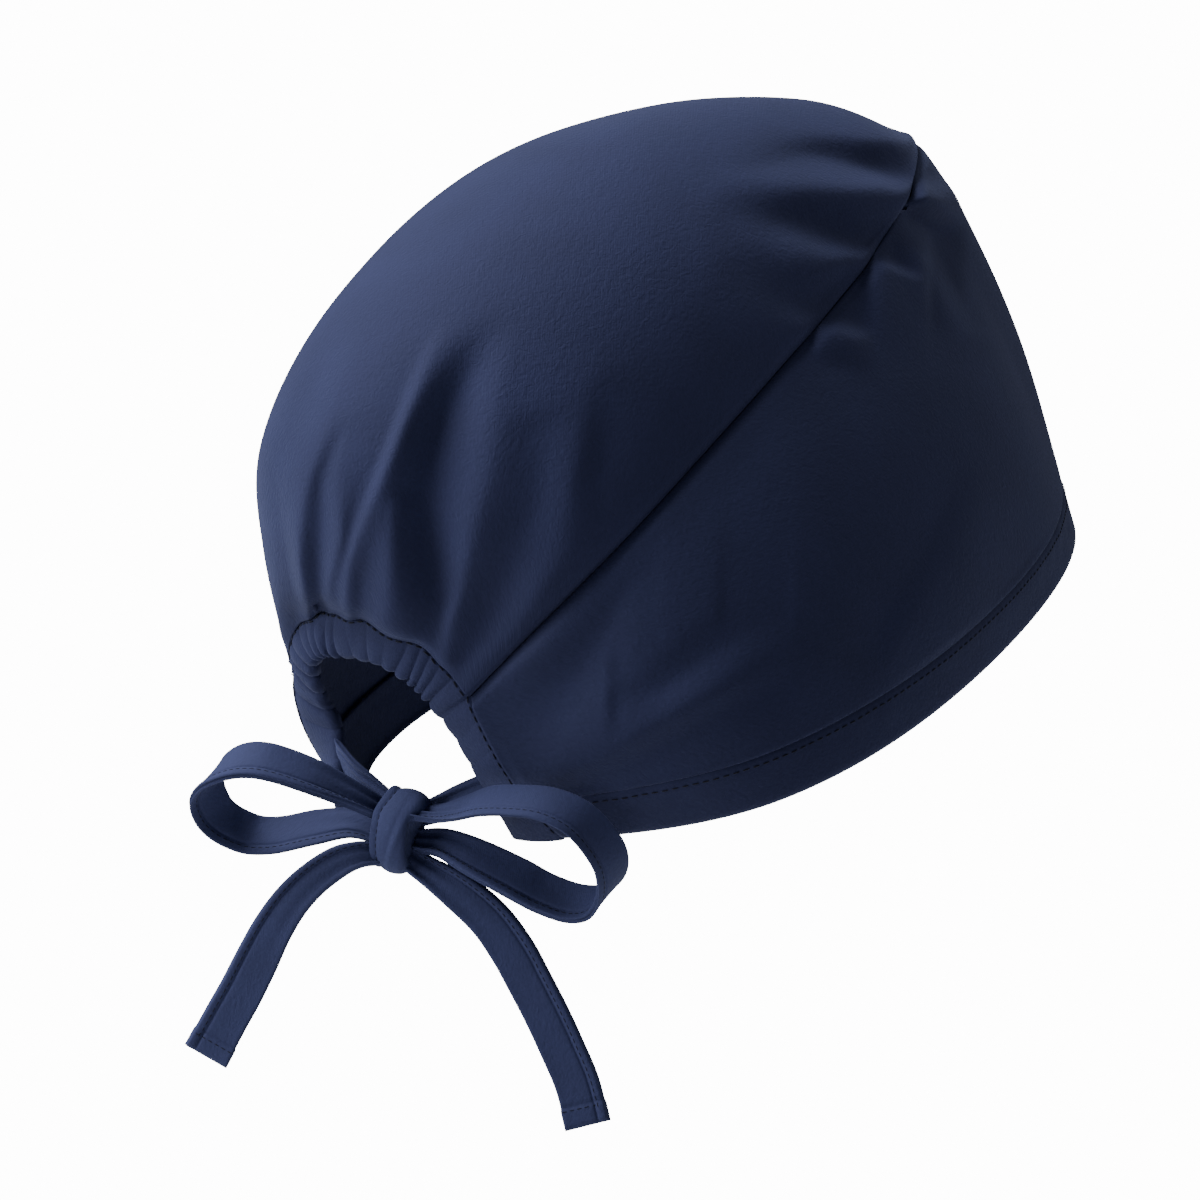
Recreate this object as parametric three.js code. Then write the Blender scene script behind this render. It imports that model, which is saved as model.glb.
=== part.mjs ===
// Tie-back scrub cap in plain cotton cloth, worn shape, millimetres.
// +Z is up, the forehead is towards -Y, the bow at the nape towards +Y, the wearer's right towards -X.
// The origin is the centre of the head opening, in the plane of the rim.
// The cap is drawn upright first, then leant back by RIM_LEAN so that the forehead edge rises.
import * as THREE from "three";

// Sizes of the cap
const RIM_LENGTH = 216.6;
const EAR_WIDTH = 158.4;
const CROWN_HEIGHT = 155;
const RIM_LEAN = 20;
const CLOTH = 1.4;
const GAP = 0.3;

// Sizes of the hem and of the gathered casing round the keyhole at the nape
const HEM_WIDTH = 13.5;
const HEM_THICKNESS = 2.0;
const KEYHOLE_WIDTH = 47;
const KEYHOLE_HEIGHT = 57;
const CASING_WIDTH = 11.5;
const CASING_THICKNESS = 3.2;
const CASING_SEAT = 1.1;
const RUFFLE_DEPTH = 1.3;
const RUFFLES = 22;
const LEFT_LEG_TURN = 52;

// Sizes of the folds
const GATHER_DEPTH = 3.2;
const SIDE_BELLY = 10;
const CREASE_DEPTH = 2.4;
const NAPE_TWIST = 0.05;
const NAPE_SHIFT = 4.5;
const SEAM_TUCK = 1.0;

// Sizes of the ties and of the bow
const TIE_WIDTH = 10.8;
const TIE_THICKNESS = 1.8;
const KNOT_WIDTH = 9;
const KNOT_HEIGHT = 22.5;
const KNOT_DEPTH = 12;
const KNOT_SIDE = -3.5;
const KNOT_STANDOFF = 16;
const KNOT_RISE = 9.9;
const KNOT_LEAN = 9;
const BOW_TURN = 22;
const LEFT_LOOP = 50;
const RIGHT_LOOP = 59;
const LEFT_TAIL = 59.5;
const RIGHT_TAIL = 72.5;

// Steps of the small differences that normals are taken with, as shares of a face and in degrees.
const NUDGE = 0.004;
const NUDGE_ACROSS = 0.5;

const X_AXIS = new THREE.Vector3(1, 0, 0);
const UP = new THREE.Vector3(0, 0, 1);
const radians = THREE.MathUtils.degToRad;
const vector = (x, y, z) => new THREE.Vector3(x, y, z);

// Smooth value through the evenly spaced rows of a table, at a place from 0 to 1 along them.
// level: whether it levels out at the last row, where the shape meets its mirror image.
function along(rows, column, place, level = false) {
  const last = rows.length - 1;
  const i = THREE.MathUtils.clamp(Math.floor(place * last), 0, last - 1);
  const t = place * last - i;
  const value = (k) => rows[THREE.MathUtils.clamp(k, 0, last)][column];
  const slope = (k) =>
    level && k === last ? 0 : (value(k + 1) - value(k - 1)) / (k > 0 && k < last ? 2 : 1);
  const start = (2 * t ** 3 - 3 * t ** 2 + 1) * value(i) + (t ** 3 - 2 * t ** 2 + t) * slope(i);
  const end = (-2 * t ** 3 + 3 * t ** 2) * value(i + 1) + (t ** 3 - t ** 2) * slope(i + 1);
  return start + end;
}

// 0 before `from`, 1 after `to`, with a soft step between.
const step = (value, from, to) => THREE.MathUtils.smoothstep(value, from, to);
const hump = (value) => Math.exp(-value * value);

// The rim seen from above, an egg that is widest towards the nape.
// turn: degrees from the nape round the wearer's right, out: millimetres outside the rim.
const EGG = { first: 0.33, second: 0.15 };
function rim(turn, up, out) {
  const c = Math.cos(radians(turn));
  const s = Math.sin(radians(turn));
  const swell = 1 + EGG.first * c + EGG.second * c * c;
  return vector(-(EAR_WIDTH / 2 + out) * s * swell, (RIM_LENGTH / 2 + out) * c, up);
}

// The seam between crown and side panel, right half, from the casing to the forehead.
// turn: degrees round the rim below it, side: share of half the ear width,
// back: share of half the rim length, up: share of the crown height, belly: share of SIDE_BELLY.
const LEG_SIDE = (KEYHOLE_WIDTH / 2 + CASING_WIDTH) / (EAR_WIDTH / 2);
const SEAM = [
  { turn: 19, side: LEG_SIDE, back: 1.066, up: 0.29, belly: 0.45 },
  { turn: 38, side: 0.655, back: 0.855, up: 0.406, belly: 0.6 },
  { turn: 65, side: 0.783, back: 0.56, up: 0.516, belly: 0.8 },
  { turn: 90, side: 0.797, back: 0.166, up: 0.613, belly: 1.0 },
  { turn: 118, side: 0.664, back: -0.259, up: 0.677, belly: 0.87 },
  { turn: 150, side: 0.44, back: -0.62, up: 0.735, belly: 0.36 },
  { turn: 180, side: 0, back: -0.87, up: 0.745, belly: 1.15 },
];
function seam(place) {
  return vector(
    -along(SEAM, "side", place) * (EAR_WIDTH / 2),
    along(SEAM, "back", place, true) * (RIM_LENGTH / 2),
    along(SEAM, "up", place, true) * CROWN_HEIGHT,
  );
}

// Creases of the side panel, right half.
// from and to: places along the seam, low and high: places up the panel at each end,
// depth: share of CREASE_DEPTH, positive outwards, width: share of HEM_WIDTH.
const CREASES = [
  { from: 0.02, low: 0.33, to: 0.34, high: 0.4, depth: 1.0, width: 0.55 },
  { from: 0.02, low: 0.22, to: 0.36, high: 0.3, depth: -0.8, width: 0.6 },
  { from: 0.03, low: 0.62, to: 0.2, high: 0.66, depth: 0.5, width: 0.5 },
  { from: 0.38, low: 0.18, to: 0.48, high: 0.42, depth: -0.5, width: 0.6 },
  { from: 0.48, low: 0.42, to: 0.6, high: 0.5, depth: -0.5, width: 0.7 },
  { from: 0.55, low: 0.86, to: 0.6, high: 0.98, depth: 0.5, width: 0.45 },
  { from: 0.68, low: 0.82, to: 0.7, high: 0.98, depth: 0.6, width: 0.45 },
  { from: 0.78, low: 0.84, to: 0.8, high: 0.98, depth: 0.6, width: 0.45 },
  { from: 0.9, low: 0.8, to: 0.9, high: 0.98, depth: 0.5, width: 0.5 },
];
function creases(place, rise) {
  const run = RIM_LENGTH * 0.75;
  const height = CROWN_HEIGHT * 0.6;
  let sum = 0;
  for (const row of CREASES) {
    const ax = row.from * run;
    const ay = row.low * height;
    const bx = row.to * run;
    const by = row.high * height;
    const px = place * run;
    const py = rise * height;
    const length = (bx - ax) ** 2 + (by - ay) ** 2;
    const t = THREE.MathUtils.clamp(((px - ax) * (bx - ax) + (py - ay) * (by - ay)) / length, 0, 1);
    const away = Math.hypot(px - ax - t * (bx - ax), py - ay - t * (by - ay));
    sum += row.depth * hump(away / (row.width * HEM_WIDTH));
  }
  return sum * CREASE_DEPTH;
}

// Outer face of the side panel, right half. place: along the seam, rise: 0 at the rim to 1 at the seam.
function sideFace(place, rise) {
  const turn = along(SEAM, "turn", place);
  const foot = rim(turn, 0, 0);
  const head = seam(place);
  const belly = along(SEAM, "belly", place, true) * SIDE_BELLY * 4 * rise * (1 - rise);
  const quiet = step(rise, 0.1, 0.25) * step(1 - rise, 0, 0.06);
  const away = vector(-Math.sin(radians(turn)), 0.9 * Math.cos(radians(turn)), 0).normalize();
  return foot.lerp(head, rise).addScaledVector(away, belly + creases(place, rise) * quiet);
}

// Mid-line of the crown from the forehead to the casing.
// seam: place of the seam that the section springs from, back and up: shares as above,
// slant: how the section leaves the seam, 0.5 upright like an ellipse, 1 at a slant like a parabola.
const CROWN = [
  { seam: 0.955, back: -0.873, up: 0.745, slant: 1 },
  { seam: 0.9, back: -0.77, up: 0.79, slant: 1 },
  { seam: 0.82, back: -0.57, up: 0.883, slant: 0.85 },
  { seam: 0.7, back: -0.231, up: 0.965, slant: 0.63 },
  { seam: 0.55, back: 0.139, up: 1.0, slant: 0.55 },
  { seam: 0.4, back: 0.505, up: 0.97, slant: 0.56 },
  { seam: 0.27, back: 0.815, up: 0.884, slant: 0.57 },
  { seam: 0.17, back: 1.06, up: 0.746, slant: 0.63 },
  { seam: 0.09, back: 1.145, up: 0.61, slant: 0.72 },
  { seam: 0.03, back: 1.165, up: 0.495, slant: 0.74 },
  { seam: 0, back: 1.112, up: 0.432, slant: 0.66 },
];

// Gathers of the crown, fanning out from the casing.
// start and end: degrees across the crown at the casing and at the far end of the fold,
// reach: how far along the crown it runs, height: share of GATHER_DEPTH, width: degrees.
const GATHERS = [
  { start: -88, end: -68, reach: 0.42, height: 0.6, width: 7 },
  { start: -76, end: -58, reach: 0.4, height: -0.6, width: 6 },
  { start: -64, end: -41, reach: 0.45, height: 1.0, width: 6.5 },
  { start: -49, end: -33, reach: 0.42, height: -1.1, width: 6.5 },
  { start: -34, end: -27, reach: 0.25, height: 0.6, width: 5 },
  { start: -18, end: -24, reach: 0.45, height: 1.0, width: 6.5 },
  { start: -6, end: -14, reach: 0.3, height: -0.6, width: 6 },
  { start: 8, end: -5, reach: 0.4, height: 0.7, width: 7 },
  { start: 21, end: 12, reach: 0.35, height: -0.8, width: 6.5 },
  { start: 35, end: 24, reach: 0.42, height: 0.5, width: 7 },
  { start: 50, end: 35, reach: 0.38, height: -1.3, width: 8 },
  { start: 64, end: 46, reach: 0.42, height: 0.2, width: 6.5 },
  { start: 78, end: 60, reach: 0.35, height: -0.6, width: 6 },
];
// Soft billows of the crown over the seam near the forehead.
// along and length: shares of the way along the crown, across and width: degrees across it.
const BILLOWS = [
  { along: 0.09, across: -50, height: 0.6, width: 16, length: 0.045 },
  { along: 0.15, across: -68, height: -0.6, width: 10, length: 0.035 },
  { along: 0.22, across: -70, height: 0.7, width: 12, length: 0.05 },
  { along: 0.3, across: -74, height: -0.6, width: 9, length: 0.03 },
  { along: 0.1, across: 45, height: 0.6, width: 18, length: 0.05 },
  { along: 0.2, across: 66, height: -0.6, width: 12, length: 0.04 },
];
function folds(place, across) {
  let sum = 0;
  for (const row of GATHERS) {
    const t = THREE.MathUtils.clamp((1 - place) / row.reach, 0, 1);
    const centre = row.start + (row.end - row.start) * t;
    const strength = 1 - step(t, 0.35, 1);
    sum += row.height * strength * hump((across - centre) / (row.width * (1 + 0.6 * t)));
  }
  for (const row of BILLOWS) {
    const reach = hump((place - row.along) / row.length);
    sum += row.height * reach * hump((across - row.across) / row.width);
  }
  return sum * GATHER_DEPTH;
}

// Outer face of the crown. place: 0 at the forehead to 1 at the casing, across: -90 to 90 degrees.
function crownBase(place, across) {
  const spring = seam(THREE.MathUtils.clamp(along(CROWN, "seam", place), 0, 1));
  const foot = vector(0, spring.y, spring.z);
  const back = along(CROWN, "back", place) * (RIM_LENGTH / 2);
  const up = along(CROWN, "up", place) * CROWN_HEIGHT;
  const rise = vector(0, back, up).sub(foot);
  const angle = radians(across);
  const lift = Math.max(Math.cos(angle), 0) ** (2 * along(CROWN, "slant", place));
  return foot.addScaledVector(rise, lift).add(vector(-spring.x * Math.sin(angle), 0, 0));
}
function crownFace(place, across) {
  const quiet = step(90 - Math.abs(across), 0, 9) * (1 - step(place, 0.95, 1)) * step(place, 0, 0.08);
  const normal = normalOf(crownBase, place, across);
  return crownBase(place, across).addScaledVector(normal, folds(place, across) * quiet);
}

// Unit normal of a crown face, on the side away from the head.
function normalOf(face, place, across) {
  const a = face(Math.min(place + NUDGE, 1), across).sub(face(Math.max(place - NUDGE, 0), across));
  const b = face(place, across + NUDGE_ACROSS).sub(face(place, across - NUDGE_ACROSS));
  const normal = a.cross(b).normalize();
  const inside = vector(0, 0, CROWN_HEIGHT * 0.35);
  if (normal.dot(face(place, across).sub(inside)) < 0) normal.negate();
  return normal;
}

// The tie pulls the nape: it sits NAPE_SHIFT to the left, and its lower part is drawn back on the left
// and forward on the right by NAPE_TWIST of its distance from the middle.
// Every piece of the cap passes through here and is then leant back.
function worn(point) {
  const nape = step(point.y, 0.3 * RIM_LENGTH, 0.55 * RIM_LENGTH);
  const low = 1 - step(point.z, 0.2 * CROWN_HEIGHT, 0.45 * CROWN_HEIGHT);
  point.y += NAPE_TWIST * point.x * nape * low;
  point.x += NAPE_SHIFT * nape;
  return point.applyAxisAngle(X_AXIS, -radians(RIM_LEAN));
}

// A closed body between two grids of points with the same rows and columns.
function shell(outer, inner) {
  const rows = outer.length;
  const columns = outer[0].length;
  const points = [...outer.flat(), ...inner.flat()];
  const out = (i, j) => i * columns + j;
  const into = (i, j) => rows * columns + i * columns + j;
  const faces = [];
  const quad = (a, b, c, d) => faces.push(a, b, c, a, c, d);
  for (let i = 0; i < rows - 1; i++) {
    for (let j = 0; j < columns - 1; j++) {
      quad(out(i, j), out(i + 1, j), out(i + 1, j + 1), out(i, j + 1));
      quad(into(i, j), into(i, j + 1), into(i + 1, j + 1), into(i + 1, j));
    }
  }
  for (let i = 0; i < rows - 1; i++) {
    quad(out(i, 0), into(i, 0), into(i + 1, 0), out(i + 1, 0));
    quad(out(i, columns - 1), out(i + 1, columns - 1), into(i + 1, columns - 1), into(i, columns - 1));
  }
  for (let j = 0; j < columns - 1; j++) {
    quad(out(0, j), out(0, j + 1), into(0, j + 1), into(0, j));
    quad(out(rows - 1, j), into(rows - 1, j), into(rows - 1, j + 1), out(rows - 1, j + 1));
  }
  return solid(points, faces);
}

// A closed body from rings of points, each with the same number, with flat ends.
function rings(list) {
  const sides = list[0].length;
  const points = list.flat();
  const faces = [];
  for (let i = 0; i < list.length - 1; i++) {
    for (let j = 0; j < sides; j++) {
      const k = (j + 1) % sides;
      const a = i * sides;
      const b = a + sides;
      faces.push(a + j, b + j, b + k, a + j, b + k, a + k);
    }
  }
  const last = (list.length - 1) * sides;
  for (let j = 1; j < sides - 1; j++) {
    faces.push(0, j, j + 1);
    faces.push(last, last + j + 1, last + j);
  }
  return solid(points, faces);
}

// A geometry with its faces turned outwards.
function solid(points, faces) {
  let volume = 0;
  for (let i = 0; i < faces.length; i += 3) {
    const [a, b, c] = [points[faces[i]], points[faces[i + 1]], points[faces[i + 2]]];
    volume += a.dot(b.clone().cross(c));
  }
  if (volume < 0) faces.reverse();
  const geometry = new THREE.BufferGeometry();
  geometry.setFromPoints(points);
  geometry.setIndex(faces);
  geometry.computeVertexNormals();
  return geometry;
}

// Evenly spread values from `from` to `to`, both included.
function spread(from, to, count) {
  return Array.from({ length: count }, (_, i) => from + ((to - from) * i) / (count - 1));
}

function crownPanel() {
  const lengths = spread(0, 1, 31).map((t) => 1 - (1 - t) ** 1.25);
  const widths = spread(-90, 90, 43);
  const grid = (depth) =>
    lengths.map((place) =>
      widths.map((across) => {
        const normal = normalOf(crownFace, place, across);
        const point = crownFace(place, across).addScaledVector(normal, -depth);
        return worn(point);
      }),
    );
  return shell(grid(0), grid(CLOTH));
}

// The side panel runs from the casing round the forehead to the casing on the other side.
// around: -1 to 1, the right leg to the left leg.
function aroundFace(around, rise) {
  const place = 1 - Math.abs(around);
  const point = sideFace(place, rise);
  if (around > 0) point.x *= -1;
  return point;
}
function panelNormal(around, rise) {
  const before = aroundFace(Math.max(around - NUDGE, -1), rise);
  const a = aroundFace(Math.min(around + NUDGE, 1), rise).sub(before);
  const b = aroundFace(around, rise + NUDGE).sub(aroundFace(around, rise - NUDGE));
  return a.cross(b).normalize();
}
// Height share of the panel at a height in millimetres above the rim.
function riseAt(around, height) {
  const place = 1 - Math.abs(around);
  return height / seam(place).z;
}
function sidePanel() {
  const columns = spread(-1, 1, 61);
  const rows = spread(0, 1, 9);
  const grid = (depth) =>
    rows.map((t) =>
      columns.map((around) => {
        const low = riseAt(around, HEM_WIDTH + GAP);
        const high = 1 - riseAt(around, 1.5 * GAP + SEAM_TUCK * step(1 - Math.abs(around), 0.6, 0.95));
        const rise = low + (high - low) * t;
        const normal = panelNormal(around, rise);
        return worn(aroundFace(around, rise).addScaledVector(normal, -depth));
      }),
    );
  return shell(grid(0), grid(CLOTH));
}

function band() {
  const columns = spread(-1, 1, 61);
  const rows = spread(0, 1, 3);
  const grid = (depth) =>
    rows.map((t) =>
      columns.map((around) => {
        const rise = riseAt(around, HEM_WIDTH) * t;
        const normal = panelNormal(around, Math.max(rise, 0.01));
        return worn(aroundFace(around, rise).addScaledVector(normal, -depth));
      }),
    );
  return shell(grid(0), grid(HEM_THICKNESS));
}

// Inner edge of the casing, right half, from the foot of its leg to the top of the keyhole.
// side: share of half the keyhole width, back: share of half the rim length, up: share of its height.
const KEYHOLE = [
  { side: 0.92, back: 0.975, up: 0 },
  { side: 0.88, back: 1.012, up: 0.3 },
  { side: 0.94, back: 1.048, up: 0.53 },
  { side: 1.0, back: 1.085, up: 0.7 },
  { side: 0.84, back: 1.11, up: 0.88 },
  { side: 0.46, back: 1.13, up: 0.98 },
  { side: 0, back: 1.133, up: 1 },
];
// Outer edge of the casing at the same place: up the leg first, then over the end of the crown.
function casingOuter(place) {
  if (place < 0.5) return sideFace(0, place * 2);
  return crownBase(1, -90 + (place - 0.5) * 180);
}
// The tie turns the left leg outwards at its foot by LEFT_LEG_TURN degrees.
function casing() {
  const inner = (place) =>
    vector(
      (-along(KEYHOLE, "side", place) * KEYHOLE_WIDTH) / 2,
      (along(KEYHOLE, "back", place, true) * RIM_LENGTH) / 2,
      along(KEYHOLE, "up", place, true) * KEYHOLE_HEIGHT,
    );
  const edges = (around) => {
    const place = 1 - Math.abs(around);
    const pair = [casingOuter(place), inner(place)];
    if (around > 0) {
      pair.forEach((point) => (point.x *= -1));
      const turn = -radians(LEFT_LEG_TURN) * (1 - step(place, 0, 0.5));
      pair[1].sub(pair[0]).applyAxisAngle(UP, turn).add(pair[0]);
    }
    return pair;
  };
  const sections = spread(-1, 1, 67).map((around) => {
    const [outer, edge] = edges(around);
    const [nextOuter, nextEdge] = edges(Math.min(around + 0.01, 1));
    const [lastOuter, lastEdge] = edges(Math.max(around - 0.01, -1));
    const run = nextOuter.add(nextEdge).sub(lastOuter).sub(lastEdge).normalize();
    const across = edge.clone().sub(outer);
    const width = across.length() - CASING_SEAT;
    across.normalize();
    const normal = run.clone().cross(across).normalize();
    if (normal.y < 0) normal.negate();
    const arch = step(1 - Math.abs(around), 0.3, 0.6);
    const wave = Math.cos(around * RUFFLES * Math.PI) * arch;
    const reach = width + RUFFLE_DEPTH * wave;
    const half = (CASING_THICKNESS / 2) * (1 + 0.25 * wave);
    const middle = outer.clone().addScaledVector(across, CASING_SEAT);
    middle.addScaledVector(normal, -CASING_THICKNESS / 2 + 0.4);
    const corner = (along, out) =>
      worn(middle.clone().addScaledVector(across, along * reach).addScaledVector(normal, out * half));
    return [
      corner(0, 0.4),
      corner(0.16, 0.85),
      corner(0.5, 1),
      corner(0.85, 0.85),
      corner(1, 0),
      corner(0.85, -0.85),
      corner(0.5, -1),
      corner(0.16, -0.85),
      corner(0, -0.4),
    ];
  });
  return rings(sections);
}

// The bow has a frame of its own at the knot.
// across: towards the wearer's right, turned by BOW_TURN, up: vertical, out: away from the nape.
const KNOT = worn(vector(KNOT_SIDE, RIM_LENGTH / 2 + KNOT_STANDOFF, KNOT_RISE));
const turned = radians(BOW_TURN);
const ACROSS = vector(-Math.cos(turned), -Math.sin(turned), 0);
const OUT = vector(-Math.sin(turned), Math.cos(turned), 0);
function bow(across, up, out) {
  return KNOT.clone().addScaledVector(ACROSS, across).addScaledVector(UP, up).addScaledVector(OUT, out);
}

// A strip of tie through the rows of a table, each row a section of it.
// across, up, out: shares of the strip's own length size, lean and skew: the way its width points,
// in degrees from straight down towards out and towards across, wide: share of TIE_WIDTH.
function strip(rows, size, sections) {
  const centre = (t) => {
    const at = (column) => along(rows, column, t) * size;
    return bow(at("across"), at("up"), at("out"));
  };
  return rings(
    spread(0, 1, sections).map((t) => {
      const run = centre(Math.min(t + 0.005, 1)).sub(centre(Math.max(t - 0.005, 0))).normalize();
      const lean = radians(along(rows, "lean", t));
      const skew = radians(along(rows, "skew", t));
      const width = ACROSS.clone().multiplyScalar(Math.sin(skew));
      width.addScaledVector(UP, -Math.cos(lean) * Math.cos(skew));
      width.addScaledVector(OUT, Math.sin(lean) * Math.cos(skew));
      width.addScaledVector(run, -width.dot(run)).normalize();
      const normal = run.clone().cross(width);
      const wide = (TIE_WIDTH / 2) * along(rows, "wide", t);
      const thick = TIE_THICKNESS / 2;
      const corner = (a, b) =>
        centre(t).addScaledVector(width, a * wide).addScaledVector(normal, b * thick);
      return [
        corner(1, 0),
        corner(0.9, 1),
        corner(0, 0.9),
        corner(-0.9, 1),
        corner(-1, 0),
        corner(-0.9, -1),
        corner(0, -0.9),
        corner(0.9, -1),
      ];
    }),
  );
}

const LEFT_LOOP_ROWS = [
  { across: -0.11, up: 0.11, out: 0.04, lean: 40, skew: 8, wide: 0.5 },
  { across: -0.2, up: 0.19, out: 0.15, lean: 50, skew: 8, wide: 0.75 },
  { across: -0.33, up: 0.284, out: 0.29, lean: 50, skew: 8, wide: 0.95 },
  { across: -0.49, up: 0.35, out: 0.38, lean: 49, skew: 6, wide: 1 },
  { across: -0.61, up: 0.365, out: 0.415, lean: 48, skew: 0, wide: 1 },
  { across: -0.73, up: 0.338, out: 0.418, lean: 47, skew: -8, wide: 1 },
  { across: -0.85, up: 0.27, out: 0.39, lean: 46, skew: -18, wide: 1 },
  { across: -0.93, up: 0.17, out: 0.33, lean: 45, skew: -28, wide: 1 },
  { across: -0.945, up: 0.07, out: 0.256, lean: 44, skew: -32, wide: 1 },
  { across: -0.92, up: 0.005, out: 0.2, lean: 43, skew: -28, wide: 1 },
  { across: -0.86, up: -0.045, out: 0.146, lean: 42, skew: -20, wide: 1 },
  { across: -0.78, up: -0.076, out: 0.098, lean: 41, skew: -10, wide: 1 },
  { across: -0.66, up: -0.07, out: 0.07, lean: 39, skew: -2, wide: 1 },
  { across: -0.46, up: -0.02, out: 0.05, lean: 38, skew: 3, wide: 0.95 },
  { across: -0.27, up: 0.01, out: 0.02, lean: 37, skew: 3, wide: 0.75 },
  { across: -0.108, up: -0.03, out: 0.0, lean: 36, skew: 2, wide: 0.5 },
];
const RIGHT_LOOP_ROWS = [
  { across: 0.105, up: 0.085, out: 0.02, lean: 64, skew: 4, wide: 0.5 },
  { across: 0.2, up: 0.085, out: 0.01, lean: 62, skew: 3, wide: 0.6 },
  { across: 0.33, up: 0.12, out: 0.06, lean: 60, skew: 1, wide: 0.8 },
  { across: 0.52, up: 0.178, out: 0.175, lean: 59, skew: 0, wide: 1 },
  { across: 0.685, up: 0.197, out: 0.21, lean: 57, skew: -1, wide: 1 },
  { across: 0.828, up: 0.192, out: 0.205, lean: 55, skew: -3, wide: 1 },
  { across: 0.943, up: 0.142, out: 0.165, lean: 53, skew: -10, wide: 1 },
  { across: 1.008, up: 0.05, out: 0.095, lean: 51, skew: -17, wide: 1 },
  { across: 1.028, up: -0.057, out: 0.01, lean: 49, skew: -22, wide: 1 },
  { across: 0.985, up: -0.168, out: -0.08, lean: 47, skew: -22, wide: 1 },
  { across: 0.89, up: -0.258, out: -0.154, lean: 45, skew: -18, wide: 1 },
  { across: 0.765, up: -0.285, out: -0.175, lean: 43, skew: -14, wide: 1 },
  { across: 0.63, up: -0.25, out: -0.153, lean: 42, skew: -12, wide: 1 },
  { across: 0.51, up: -0.187, out: -0.114, lean: 40, skew: -14, wide: 1 },
  { across: 0.337, up: -0.105, out: -0.068, lean: 38, skew: -15, wide: 0.9 },
  { across: 0.197, up: -0.055, out: -0.055, lean: 36, skew: -16, wide: 0.7 },
  { across: 0.1, up: -0.05, out: -0.04, lean: 34, skew: -17, wide: 0.5 },
];
const LEFT_TAIL_ROWS = [
  { across: -0.097, up: -0.11, out: 0.05, lean: 8, skew: 25, wide: 0.5 },
  { across: -0.155, up: -0.115, out: 0.085, lean: 2, skew: 34, wide: 0.62 },
  { across: -0.235, up: -0.15, out: 0.12, lean: -6, skew: 43, wide: 0.74 },
  { across: -0.33, up: -0.225, out: 0.163, lean: -17, skew: 53, wide: 0.8 },
  { across: -0.412, up: -0.32, out: 0.202, lean: -32, skew: 60, wide: 0.86 },
  { across: -0.485, up: -0.44, out: 0.233, lean: -48, skew: 65, wide: 0.93 },
  { across: -0.548, up: -0.575, out: 0.259, lean: -51, skew: 65, wide: 1 },
  { across: -0.61, up: -0.71, out: 0.287, lean: -51, skew: 65, wide: 1.02 },
  { across: -0.67, up: -0.825, out: 0.311, lean: -51, skew: 65, wide: 1.03 },
  { across: -0.75, up: -0.99, out: 0.35, lean: -51, skew: 65, wide: 1.05 },
];
const RIGHT_TAIL_ROWS = [
  { across: 0.05, up: -0.113, out: -0.01, lean: -117, skew: 55, wide: 0.55 },
  { across: 0.2, up: -0.205, out: -0.04, lean: -110, skew: 62, wide: 0.85 },
  { across: 0.314, up: -0.302, out: -0.071, lean: -87, skew: 66, wide: 0.95 },
  { across: 0.398, up: -0.41, out: -0.087, lean: -59, skew: 66, wide: 1 },
  { across: 0.463, up: -0.515, out: -0.092, lean: -41, skew: 62, wide: 1 },
  { across: 0.53, up: -0.635, out: -0.101, lean: -36, skew: 60, wide: 1 },
  { across: 0.587, up: -0.745, out: -0.105, lean: -36, skew: 60, wide: 1 },
  { across: 0.641, up: -0.86, out: -0.109, lean: -36, skew: 60, wide: 1 },
  { across: 0.685, up: -1.0, out: -0.104, lean: -36, skew: 60, wide: 1 },
];
const RIGHT_STRAP_ROWS = [
  { across: 0.43, up: 0.2, out: -0.146, lean: 0, skew: 13, wide: 0.8 },
  { across: 0.26, up: 0.13, out: -0.11, lean: 0, skew: 13, wide: 0.7 },
  { across: 0.124, up: 0.075, out: -0.085, lean: 0, skew: 13, wide: 0.5 },
];
const LEFT_STRAP_ROWS = [
  { across: -0.442, up: 0.3, out: -0.185, lean: 8, skew: 39, wide: 0.95 },
  { across: -0.26, up: 0.2, out: -0.1, lean: 8, skew: 39, wide: 0.7 },
  { across: -0.092, up: 0.12, out: -0.06, lean: 8, skew: 39, wide: 0.4 },
];

// The knot is a wrap of tie round the strands, a rounded barrel that leans over at the top.
// across: share of half the knot width, girth: share of its height and depth.
const BARREL = [
  { across: -1, girth: 0.72 },
  { across: -0.8, girth: 0.92 },
  { across: -0.4, girth: 1 },
  { across: 0.4, girth: 1 },
  { across: 0.8, girth: 0.9 },
  { across: 1, girth: 0.68 },
];
function knot() {
  const sides = 20;
  const lean = radians(KNOT_LEAN);
  return rings(
    BARREL.map((row) =>
      spread(0, 360 - 360 / sides, sides).map((turn) => {
        const up = ((Math.sin(radians(turn)) * KNOT_HEIGHT) / 2) * row.girth;
        const out = ((Math.cos(radians(turn)) * KNOT_DEPTH) / 2) * row.girth;
        const across = (row.across * KNOT_WIDTH) / 2;
        const leant = across * Math.cos(lean) + up * Math.sin(lean);
        return bow(leant, up * Math.cos(lean) - across * Math.sin(lean), out);
      }),
    ),
  );
}

// One piece of the cap in its own cloth colour.
function piece(name, geometry, colour) {
  const material = new THREE.MeshStandardMaterial({ color: colour, roughness: 0.9, metalness: 0 });
  const mesh = new THREE.Mesh(geometry, material);
  mesh.name = name;
  return mesh;
}

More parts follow.
